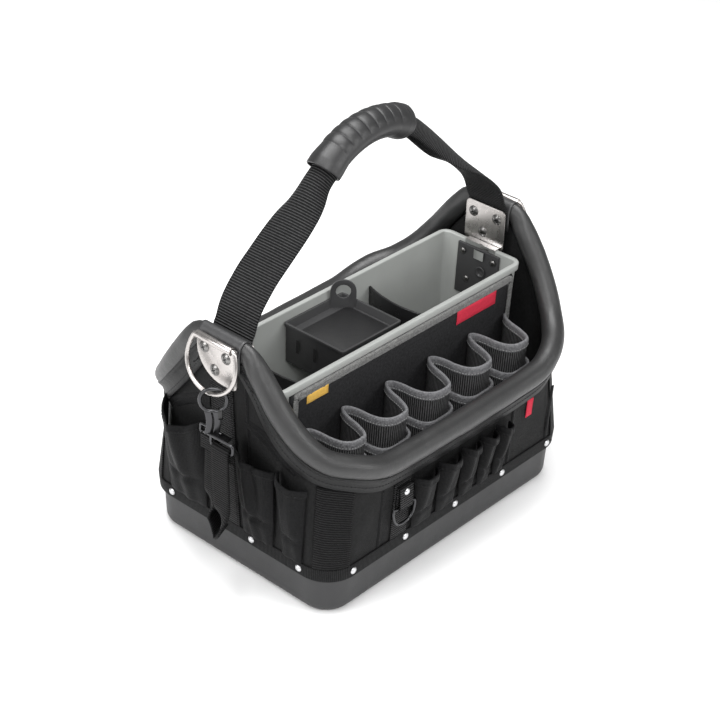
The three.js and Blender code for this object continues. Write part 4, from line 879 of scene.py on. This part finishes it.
# share along the grip, depth inside its end and size: the socket, the rounded edge, then the outside
GRIP_SOCKET = ((-1.0, 7.0, 0.02), (-1.0, 7.0, 0.9), (-1.0, 0.6, 0.92), (-1.0, 0.0, 0.95))
stations = list(GRIP_SOCKET) + [(along, 0.0, None) for along in np.linspace(-0.995, 0.995, 301)]
stations += [(-along, depth, size) for along, depth, size in reversed(GRIP_SOCKET)]
rows = []
for along, depth, size in stations:
    angle = GRIP_MIDDLE + along * (GRIP_ANGLE - depth / GRIP_RADIUS)
    radial = grip_at(angle) - grip_at(angle, 0)
    radial /= np.linalg.norm(radial)
    far = abs(along)
    body = 0.955 + 0.075 * min(1.0, max(0.0, (far - 0.66) / 0.2)) - 0.5 * max(0.0, far - 0.97)
    share = (along - RIB_FROM) / (RIB_TO - RIB_FROM)
    rib = 0.0
    if 0 < share < 1:
        rib = 0.115 * abs(math.sin(math.pi * RIBS * share)) ** 0.28 - 0.075
    ring = []
    for k in range(GRIP_SIDES):
        turn = 2 * math.pi * k / GRIP_SIDES
        top = min(1.0, max(0.0, (math.sin(turn) - 0.25) / 0.35))
        reach = size if size else body + rib * top * top * (3 - 2 * top)
        if not size:
            reach *= 1 + 0.05 * math.cos(2 * turn) ** 4
        wide, high = reach * GRIP_WIDE * math.cos(turn), reach * GRIP_TALL * math.sin(turn)
        ring.append(grip_at(angle) + ACROSS * wide + radial * high)
    rows.append(ring)
grip = grid_piece("rubber_grip", rows, grip_rubber, loop_u=True)
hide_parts("grip")

# Inner box
# A pale moulded bin with a turned-out lip. Its long faces carry padded cloth panels with a bound
# edge, and small woven tags lie on the front one.
box_plastic = plastic("box_plastic", (0.30, 0.31, 0.298), 0.42, 0.00008)
softened("inner_box", box_plastic, 0.7)
panel_cloth = cloth("panel_cloth", (0.020, 0.020, 0.021), 0.75)
binding = cloth("grey_binding", (0.15, 0.15, 0.147), 0.8, thread=0.0021, depth=0.0004)
BOX_HALF, BOX_OFFSET, BOX_TAPER, BOX_TOP = (183.0, 51.4), -2.5, 8.0, 236.0
PANEL_THICK, PANEL_LOW, PANEL_HIGH, PANEL_HALF = 4.5, 62.0, 227.4, 169.0


def box_face(z, face):
    return BOX_OFFSET + face * (BOX_HALF[1] - BOX_TAPER * (1 - z / BOX_TOP))


FACES = ((-1, "front"), (1, "back"))
PANEL_HEIGHTS = (PANEL_LOW, PANEL_LOW + 1, 100, 140, 180, 200, 215, PANEL_HIGH - 2, PANEL_HIGH)
PANEL_PLACES = (-PANEL_HALF, -PANEL_HALF + 1.5, -140, -90, -40, 0, 40, 90, 140, PANEL_HALF - 1.5, PANEL_HALF)
# the binding runs up one side, round the corner, along the top and down again
EDGE_CORNER = ((1, PANEL_LOW + 2), (1, 220), (2.5, PANEL_HIGH - 2), (8, PANEL_HIGH - 0.5))
EDGE_PATH = [(inset - PANEL_HALF, z) for inset, z in EDGE_CORNER]
EDGE_PATH += [(PANEL_HALF - inset, z) for inset, z in reversed(EDGE_CORNER)]
# how far inward from the panel's edge and how far out from the box the binding's section goes
EDGE_SECTION = ((-0.6, 0.8), (-0.6, 4.2), (0.2, 5.3), (1.0, 5.5), (7.0, 5.5), (8.0, 4.7))
for face, side in FACES:
    rows = []
    for z in PANEL_HEIGHTS:
        row = []
        for x in PANEL_PLACES:
            edge = abs(x) == PANEL_HALF or z in (PANEL_LOW, PANEL_HIGH)
            out = 0.5 if edge else PANEL_THICK - 0.1 + min(0.1, drape((x, 0, z), 0.5, 1.3))
            row.append((x, box_face(z, face) + face * out, z))
        rows.append(row)
    panel = grid_piece(f"padded_panel_{side}", rows, panel_cloth)
    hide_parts(f"box_panel_{side}")
    rows = []
    for inward, out in EDGE_SECTION:
        row = []
        for x, z in EDGE_PATH:
            x2 = x - math.copysign(inward, x) if abs(x) > PANEL_HALF - 7 else x
            z2 = z - inward if z > 221 else z
            row.append((x2, box_face(z2, face) + face * out, z2))
        rows.append(row)
    trim = grid_piece(f"panel_binding_{side}", rows, binding)

# Bands of tool loops
# Ribbed webbing stands out from each panel in five deep loops, with a pale bound edge along its
# top. A lower band of the same webbing stands further out.
BAND_CREASES = (-152.0, -97.1, -32.0, 34.0, 99.1, 158.0)
# the webbing's way round one loop, as shares of the loop's length and of its depth
UPPER_LOOP = ((0, 0), (0.08, 0.07), (0.125, 0.3), (0.135, 0.56), (0.19, 0.81), (0.31, 0.96), (0.48, 1),
              (0.65, 0.95), (0.77, 0.66), (0.85, 0.3), (0.925, 0.1))
LOWER_LOOP = ((0, 0.4), (0.07, 0.47), (0.085, 0.68), (0.125, 0.87), (0.24, 0.99), (0.48, 1), (0.64, 0.985),
              (0.765, 0.9), (0.845, 0.68), (0.9, 0.49))
BAND_TOP, BAND_LOW, BAND_DEPTH = 183.0, 88.0, 49.0
BANDS = (("tool_band", BAND_LOW, BAND_TOP, UPPER_LOOP, 0),
         ("lower_tool_band", PANEL_LOW, BAND_TOP - 32, LOWER_LOOP, 2.3))
# the binding wraps the band's upper edge: outward from the band and up from its top
BINDING_SECTION = ((1.5, -9), (1.7, -6), (1.7, -2), (1.2, 0), (0, 0.7),
                   (-1.2, 0), (-1.7, -2), (-1.7, -6), (-1.5, -9))
band_webbing = cloth("band_webbing", (0.050, 0.050, 0.051), 0.75, ribs=("X", 0.0023), rib_depth=0.0007)
pale_binding = cloth("pale_binding", (0.125, 0.125, 0.13), 0.8, thread=0.0016, depth=0.0002)


def band_path(z, face, loop, step):
    flat = []
    for k in range(5):
        a, b = BAND_CREASES[k], BAND_CREASES[k + 1]
        flat += [(a + (b - a) * along, step + BAND_DEPTH * out, 0) for along, out in loop]
    flat.append((BAND_CREASES[5], step + BAND_DEPTH * loop[0][1], 0))
    smooth = eased(flat, 301)
    start = box_face(z, face) + face * (PANEL_THICK + 1.8)
    return [np.array((x if face < 0 else -x, start + face * out, z)) for x, out, _ in smooth]


def side_normals(path):
    path = np.asarray(path)
    run = np.gradient(path, axis=0)
    n = np.stack([run[:, 1], -run[:, 0], np.zeros(len(run))], 1)
    return n / np.linalg.norm(n, axis=1)[:, None]


for face, side in FACES:
    for name, low, high, loop, step in BANDS:
        rows = [band_path(z, face, loop, step) for z in np.linspace(low, high - 1, 9)]
        band = grid_piece(f"{name}_webbing_{side}", rows, band_webbing, thickness=1.6)
        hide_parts(f"{name}_{side}")
        path = band_path(high, face, loop, step)
        normals = side_normals(path)
        rows = [[p + n * out + np.array((0, 0, up)) for p, n in zip(path, normals)]
                for out, up in BINDING_SECTION]
        trim = grid_piece(f"{name}_binding_{side}", rows, pale_binding)
        for sign, layer in ((-1, "in"), (1, "out")):
            line = [p + n * 1.85 * sign + np.array((0, 0, -7.2)) for p, n in zip(path, normals)]
            row = stitches(f"{name}_stitches_{side}_{layer}", line, normals * sign, pale_thread, 3.2, 2.2, 0.85)

# Things in the box
# The parts bin, the two dividers and the clip plate are thin dark mouldings fixed in the box. The
# small woven tags are sewn to the box's panel and to the bag's side.
dark_plastic = plastic("dark_plastic", (0.038, 0.038, 0.039), 0.36, 0.00006)
for name in ("parts_bin", "clip_plate"):
    softened(name, dark_plastic, 0.6)
divider_plastic = plastic("divider_plastic", (0.012, 0.012, 0.0125), 0.28, 0.00002)
for name in ("divider_left", "divider_right"):
    softened(name, divider_plastic, 0.5)
# screws, a round boss and a small tab on the clip plate
plate_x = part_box("clip_plate")[0].x * 1000 - 0.1
SMALL_HEAD = ((3.6, 0), (3.6, 0.5), (3.0, 1.1), (1.8, 1.6), (0.6, 1.8))
BOSS = ((6.4, 0), (6.4, 0.9), (5.6, 1.1), (5.0, 1.1), (4.6, 0.5), (0.5, 0.5))
TOWARD_HOOK = (-1, 0, 0)
spots = [((plate_x + 0.6, y, z), TOWARD_HOOK) for y, z in ((10.5, 191.7), (-19.0, 191.7))]
spots += [((plate_x + 0.4, y, 224.0), TOWARD_HOOK) for y in (17.0, -24.0)]
turned("clip_screws", SMALL_HEAD, spots, screw_metal)
turned("clip_boss", BOSS, [((plate_x + 0.3, -8.6, 207.0), TOWARD_HOOK)], dark_plastic)
TAB_SECTION, TAB_HEIGHTS = ((0.5, 0.2), (0.9, 1.2), (-11.0, 1.2), (-11.4, 0.2)), (221.5, 222, 231.5, 232)
tab_rows = [[(plate_x - out, y, z) for y, out in TAB_SECTION] for z in TAB_HEIGHTS]
grid_piece("clip_tab", tab_rows, box_plastic)

# a grained mat on the bin's floor, its edge turned down, and two slots in the bin's end drawn as flat black
# insets, painted shade for their openings
MAT_LOW, MAT_THICK = 217.45, 0.5
MAT_X, MAT_Y = (-68, -67.2, -66.2, -30, 5.2, 6.2, 7), (-37, -36.2, -35.2, 0, 30.2, 31.2, 32)
mat_plastic = plastic("bin_mat", (0.011, 0.011, 0.0115), 0.38, 0.00025)
mat_rows = [[(x, y, MAT_LOW + (MAT_THICK if x in MAT_X[2:-2] and y in MAT_Y[2:-2] else 0)) for y in MAT_Y]
            for x in MAT_X]
grid_piece("bin_mat", mat_rows, mat_plastic)
SLOT_X, SLOT_ACROSS, SLOT_HEIGHTS = -74.62, (-1.7, -1.6, 1.6, 1.7), (198, 198.2, 213, 213.2)
# the slots are painted shade: flat black insets in place of the shadow inside them
slot_painted_shade = plastic("slot_painted_shade", (0.004, 0.004, 0.004), 0.7, 0.00006)
for k, y in enumerate((25.5, 1.5)):
    slot_rows = [[(SLOT_X, y + a, z) for a in SLOT_ACROSS] for z in SLOT_HEIGHTS]
    grid_piece(f"bin_slot_{k}", slot_rows, slot_painted_shade)
clip_materials = nodes["box_clip"].data.materials
clip_materials.clear()
clip_materials.append(metal("bright_clip", (0.85, 0.85, 0.85), 0.12))


def tag(node, middle, wide, high, face, out, material):
    """A small woven tag laid flat, its edges turned down, with a stitch line at both ends."""
    rows = []
    for v in (-1, -0.9, -0.4, 0, 0.4, 0.9, 1):
        rows.append([])
        for u in (-1, -0.97, -0.6, -0.2, 0.2, 0.6, 0.97, 1):
            z = middle[1] + v * high / 2
            lift = 0.15 if abs(u) == 1 or abs(v) == 1 else 0.8 + 0.15 * math.sin(5 * u + 2 * v)
            rows[-1].append((middle[0] + u * wide / 2, face(z) - out - lift, z))
    piece = grid_piece(f"{node}_cloth", rows, material)
    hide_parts(node)
    reach = high / 2 - 0.6
    for end, name in ENDS:
        x = middle[0] + end * (wide / 2 - 1.6)
        line = [(x, face(z) - out - 0.95, z) for z in np.linspace(middle[1] - reach, middle[1] + reach, 5)]
        row = stitches(f"{node}_stitches_{name}", line, [(0, -1, 0)] * 5, material, 2.2, 1.5, 0.5)


def panel_front(z):
    return box_face(z, -1)


def wall_front(z):
    return -half_width(z)


yellow_cloth = cloth("yellow_cloth", (0.62, 0.38, 0.085), 0.7, thread=0.0008, depth=0.00008, spread=(0.8, 1.2))
red_cloth = cloth("red_cloth", (0.48, 0.03, 0.055), 0.7, thread=0.0008, depth=0.00008, spread=(0.8, 1.2))
tag("yellow_tag", (-134, 215.5), 30, 11, panel_front, PANEL_THICK + GAP, yellow_cloth)
tag("red_tag", (108, 211.5), 64, 17, panel_front, PANEL_THICK + GAP, red_cloth)
tag("side_tag", (113, 119), 10, 22, wall_front, GAP, red_cloth)

# Outside pockets
# Each pocket is a sheet of the wall's cloth that stands out between two seams, with a folded hem
# along its mouth. A row of stitches low down pulls it in. Its cloth is the wall's cloth made darker, as painted
# shade.
# this cloth is the wall's cloth made darker: painted shade on the pockets, their hems and the seam tapes
pocket_cloth = cloth("pocket_cloth", (0.0060, 0.0060, 0.0063), 0.55)
POCKET_FOOT, POCKET_COLUMNS, POCKET_LEVELS = 61.0, 49, 25
# for each side of the bag, the way out from it and the way along it
SIDES = {
    "left": ((-1, 0), (0, -1)),
    "right": ((1, 0), (0, -1)),
    "front": ((0, -1), (1, 0)),
    "back": ((0, 1), (1, 0)),
}
# the hem folded over a pocket's mouth: outward from its sheet and up from its edge
POCKET_HEM = ((0.8, -8), (1.35, -7.4), (1.35, -1), (0.6, 0.4), (-0.6, 0.4), (-1.35, -1), (-1.35, -6))


def wall_face(side, z, across):
    """How far from the bag's middle its wall lies on one side, at a height and a place along it."""
    is_end = side in ("left", "right")
    half_x, half_y = half_length(z), half_width(z)
    a = abs(across)
    if is_end:
        over = max(0.0, a - (MID_Y - RIM_CORNER))
        arc = RIM_CORNER * math.asin(min(1, over / RIM_CORNER))
        share = (min(a, MID_Y - RIM_CORNER) + arc) / RIM_QUARTER
        rim = RIM_DIP + (RIM_PEAK - RIM_DIP) * smooth_table(RIM_ALONG, RIM_HEIGHT, min(1, share))
    else:
        rim = RIM_DIP
    r = corner_radius(z, rim)
    near, far = (half_y, half_x) if is_end else (half_x, half_y)
    over = max(0.0, a - (near - r))
    return far - r + math.sqrt(max(0.0, r * r - over * over))


def pocket(node, side, table, ridge, folds=1.0, depth=1.5, far_rise=0.0):
    """A pocket from a table of height, start, stop, bulge and lift, standing out most at its ridge."""
    (ox, oy), (ax, ay) = SIDES[side]
    out_way = np.array((ox, oy, 0))
    keys = [row[0] for row in table]
    rows = []
    for level in np.linspace(0, 1, POCKET_LEVELS):
        z0 = keys[0] + (keys[-1] - keys[0]) * level
        start, stop, bulge, lift = (smooth_table(keys, [row[j] for row in table], z0) for j in (1, 2, 3, 4))
        # the low row of stitches pulls the cloth in
        pinch = 1 - 0.42 * math.exp(-(((level - 0.3) / 0.045) ** 2))
        line = []
        for share in np.linspace(0, 1, POCKET_COLUMNS):
            place = start + (stop - start) * share
            rise = share / ridge if share < ridge else (1 - share) / (1 - ridge)
            between = max(0.0, math.sin(math.pi * share))
            fold = drape((place * 2, z0, 0), 1.6, 2.0 + len(node)) * between
            fold += depth * math.sin(2 * math.pi * folds * share + 0.9 * level) * between ** 0.5
            z = z0 + lift * share
            z += 0.5 * fold * level + far_rise * level * max(0.0, 1 - share / 0.4) ** 1.3
            stand = max(0.0, (bulge + fold * (0.3 + 0.7 * level)) * pinch)
            out = wall_face(side, z, place) + 2.2 + stand * math.sin(math.pi / 2 * rise) ** 0.7
            line.append(np.array((ox * out + ax * place, oy * out + ay * place, z)))
        rows.append(line)
    piece = grid_piece(f"{node}_cloth", rows, pocket_cloth, thickness=1.5)
    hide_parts(node)
    low = np.array(rows[7])[3:-3]
    row = stitches(f"{node}_low_stitches", low + out_way, [out_way] * len(low), dark_thread, 3.4, 2.4, 0.6)
    top = np.array(rows[-1])
    normals = side_normals(top)
    if normals[POCKET_COLUMNS // 2] @ out_way < 0:
        normals = -normals
    hem_rows = [[p + n * out + np.array((0, 0, up)) for p, n in zip(top, normals)] for out, up in POCKET_HEM]
    trim = grid_piece(f"{node}_hem", hem_rows, pocket_cloth)
    line = [p + n * 1.5 + np.array((0, 0, -6)) for p, n in zip(top, normals)]
    row = stitches(f"{node}_stitches", line, normals, dark_thread, 3.6, 2.5, 0.6)


ROW_EDGES, ROW_TOP = (-76, -38, -2, 28, 54, 78), 126.0
ROW_MIDDLE = (POCKET_FOOT + ROW_TOP) / 2
for k in range(5):
    a, b = ROW_EDGES[k] + 1, ROW_EDGES[k + 1] - 1
    table = ((POCKET_FOOT, a + 3, b - 3, 1.5, 0), (ROW_MIDDLE, a + 1, b - 1, 9, -3), (ROW_TOP, a, b, 14, -6))
    pocket(f"row_pocket_{k + 1}", "front", table, 0.3, 1.3, 1.6)
for name, a, b in (("back_pocket_left", -100, -8), ("back_pocket_right", 8, 100)):
    table = ((POCKET_FOOT, a + 4, b - 4, 1.5, 0), (ROW_MIDDLE, a + 1, b - 1, 9, 0), (ROW_TOP, a, b, 13, 0))
    pocket(name, "back", table, 0.5)
WIDE_POCKET = ((POCKET_FOOT, -88, -36, 2, 0), (110, -92, -34, 13, 12), (150, -94, -30, 20, 22))
HOOK_POCKET = ((POCKET_FOOT, 16, 56, 2, 0), (110, 14, 60, 11, -6), (168, 12, 62, 14, -12))
SLIM_POCKET = ((POCKET_FOOT, 70, 95, 2, 0), (110, 69, 97, 9, -7), (162, 68, 97, 13, -14))
for _, side in ENDS:
    pocket(f"wide_pocket_{side}", side, WIDE_POCKET, 0.55, 2.2, 3.6, 24)
    pocket(f"hook_pocket_{side}", side, HOOK_POCKET, 0.45, 2.6, 3.4)
    pocket(f"slim_pocket_{side}", side, SLIM_POCKET, 0.5, 1.4, 2.2)

# Webbing on the outside
# Ribbed webbing covers the corners and runs down both ends under the plates. A short strip and a
# folded tab hold the small ring at the front. Narrow taped seams join the wall's panels.
corner_webbing = cloth("corner_webbing", (0.0075, 0.0075, 0.0077), 0.55, ribs=("Y", 0.0025), rib_depth=0.0009)
CORNER_WIDE, CORNER_MIDDLE = 37.0, 0.55
CORNER_LOW, CORNER_UNDER, CORNER_OUT = HEM_HIGH + GAP, 16, 1.05
for quarter, name in enumerate(("back_right", "back_left", "front_left", "front_right")):
    middle = CORNER_FROM + (CORNER_TO - CORNER_FROM) * CORNER_MIDDLE
    centre_turn = quarter + (middle if quarter % 2 == 0 else 1 - middle)
    nearby = np.linspace(quarter + 0.02, quarter + 0.98, 161)
    rows = []
    for level in np.linspace(0, 1, 40):
        middle_z = HEM_HIGH + (rim_z(centre_turn) - 28 - HEM_HIGH) * level
        along = np.array([wall_at(t, middle_z) for t in nearby])
        far = lengths_along(along)
        centre = np.interp(centre_turn, nearby, far)
        row = []
        for w in np.linspace(-CORNER_WIDE / 2, CORNER_WIDE / 2, 33):
            t = np.interp(centre + w, far, nearby)
            up = rim_frame(t)[2]
            top = rim_z(t) - (RIM_RADIUS + CORNER_UNDER) / max(0.3, up[2])
            edge = 0.35 if abs(w) == CORNER_WIDE / 2 else 0.0
            row.append(wall_at(t, CORNER_LOW + (top - CORNER_LOW) * level, CORNER_OUT - edge))
        rows.append(row)
    piece = grid_piece(f"corner_{name}", rows, corner_webbing, thickness=1.4)
    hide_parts(f"corner_webbing_{name}")

EDGES = ((-1, "near"), (1, "far"))
STRIP_Y, STRIP_HALF, STRIP_SEW = 6, 15, 12.4
EDGE_DOWN = (0.3, 0, 0, 0, 0, 0, 0, 0, 0.3)
for end, side in ENDS:
    rows = [[(end * (half_length(z) + 1.1 - down), STRIP_Y + STRIP_HALF * w, z)
             for w, down in zip(np.linspace(-1, 1, 9), EDGE_DOWN)]
            for z in np.linspace(HEM_HIGH + GAP, RIM_PEAK - 46, 30)]
    piece = grid_piece(f"end_strip_{side}", rows, strap_webbing, thickness=1.6)
    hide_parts(f"end_webbing_{side}")
    for sign, edge in EDGES:
        line = [(end * (half_length(z) + 2.05), STRIP_Y + sign * STRIP_SEW, z)
                for z in np.linspace(HEM_HIGH + 2, RIM_PEAK - 48, 12)]
        row = stitches(f"end_stitches_{side}_{edge}", line, [(end, 0, 0)] * 12, dark_thread, pitch=3.8)

SMALL_X, SMALL_Z = -90.0, 101.0
RING_STRIP_HALF, RING_STRIP_TOP, TAB_HALF, TAB_REACH = 12, 129, 9.5, 24
rows = [[(SMALL_X + RING_STRIP_HALF * w, -half_width(z) - 1.05 + down, z)
         for w, down in zip(np.linspace(-1, 1, 9), EDGE_DOWN)]
        for z in np.linspace(HEM_HIGH + GAP, RING_STRIP_TOP, 24)]
piece = grid_piece("ring_strip", rows, strap_webbing, thickness=1.5)
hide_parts("ring_webbing")
# the tab goes down behind the ring's bar, round it, and up again in front
TAB_BACK, TAB_TURN = -half_width(SMALL_Z) - 3.0, 2.6
TAB_BAR = TAB_BACK - TAB_TURN
path = [(TAB_BACK - 0.05 * up, SMALL_Z + up) for up in (TAB_REACH, 18, 12, 6)]
path += [(TAB_BAR + TAB_TURN * math.cos(a), SMALL_Z - TAB_TURN * math.sin(a))
         for a in np.linspace(0, math.pi, 13)]
path += [(TAB_BAR - TAB_TURN + (up / TAB_REACH) ** 2, SMALL_Z + up) for up in (6, 12, 18, TAB_REACH)]
rows = [[(SMALL_X + w, y, z) for w in np.linspace(-TAB_HALF, TAB_HALF, 7)] for y, z in path]
piece = grid_piece("ring_tab_webbing", rows, strap_webbing, thickness=1.6)
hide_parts("ring_tab")
rivet = turned("ring_tab_rivet", RIVET_HEAD, [((SMALL_X, TAB_BAR - 2.4, 119), (0, -1, 0))], silver)
SMALL_BAR, SMALL_HALF, SMALL_DEPTH = 15.5, 16.5, 21
path = [(SMALL_X + x, TAB_BAR, SMALL_Z) for x in np.linspace(-SMALL_BAR, SMALL_BAR, 9)]
for a in np.linspace(0.12, math.pi - 0.12, 33):
    x = SMALL_HALF * math.copysign(abs(math.cos(a)) ** 0.75, math.cos(a))
    path.append((SMALL_X + x, TAB_BAR, SMALL_Z - SMALL_DEPTH * math.sin(a) ** 0.9))
ring = wire("small_ring", path, 1.5, gunmetal, "bag")
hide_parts("front_ring")


# across the tape as shares of half its width, and out from the wall
TAPE_SECTION = ((-1, -0.2), (-0.8, 0.55), (0, 0.7), (0.8, 0.55), (1, -0.2))


def seam_tape(name, points, normals, width=5.0):
    """A sewn tape that lies on the wall along a line, with a row of stitches down its middle."""
    points, normals = np.asarray(points, float), np.asarray(normals, float)
    run = np.gradient(points, axis=0)
    side = np.cross(run, normals)
    side /= np.linalg.norm(side, axis=1)[:, None]
    rows = [[p + q * w * width / 2 + n * h for w, h in TAPE_SECTION] for p, q, n in zip(points, side, normals)]
    # the tape uses the darker pocket cloth, which carries painted shade
    piece = grid_piece(name, rows, pocket_cloth)
    row = stitches(f"{name}_stitches", points + normals * 0.8, normals, dark_thread, pitch=3.6)


for x in (-118.5, 86.0, 152.0):
    for sign, face in FACES:
        line = [(x, sign * (half_width(z) + 0.1), z) for z in np.linspace(HEM_HIGH + 1, 130, 14)]
        seam_tape(f"seam_{face}_{int(x * 10 + 2000)}", line, [(0, sign, 0)] * len(line))
for end, side in ENDS:
    for sign, name in EDGES:
        yoke = [(sign * (24 + 62 * v), 196 - 34 * v * v) for v in np.linspace(0, 1, 16)]
        line = [(end * (wall_face(side, z, y) + 0.2), y, z) for y, z in yoke]
        seam_tape(f"yoke_{side}_{name}", line, [(end, 0, 0)] * len(line), 13.0)
    line = [(end * (half_length(z) + 0.1), -27, z) for z in np.linspace(HEM_HIGH + 1, 240, 30)]
    seam_tape(f"seam_end_{side}", line, [(end, 0, 0)] * len(line))
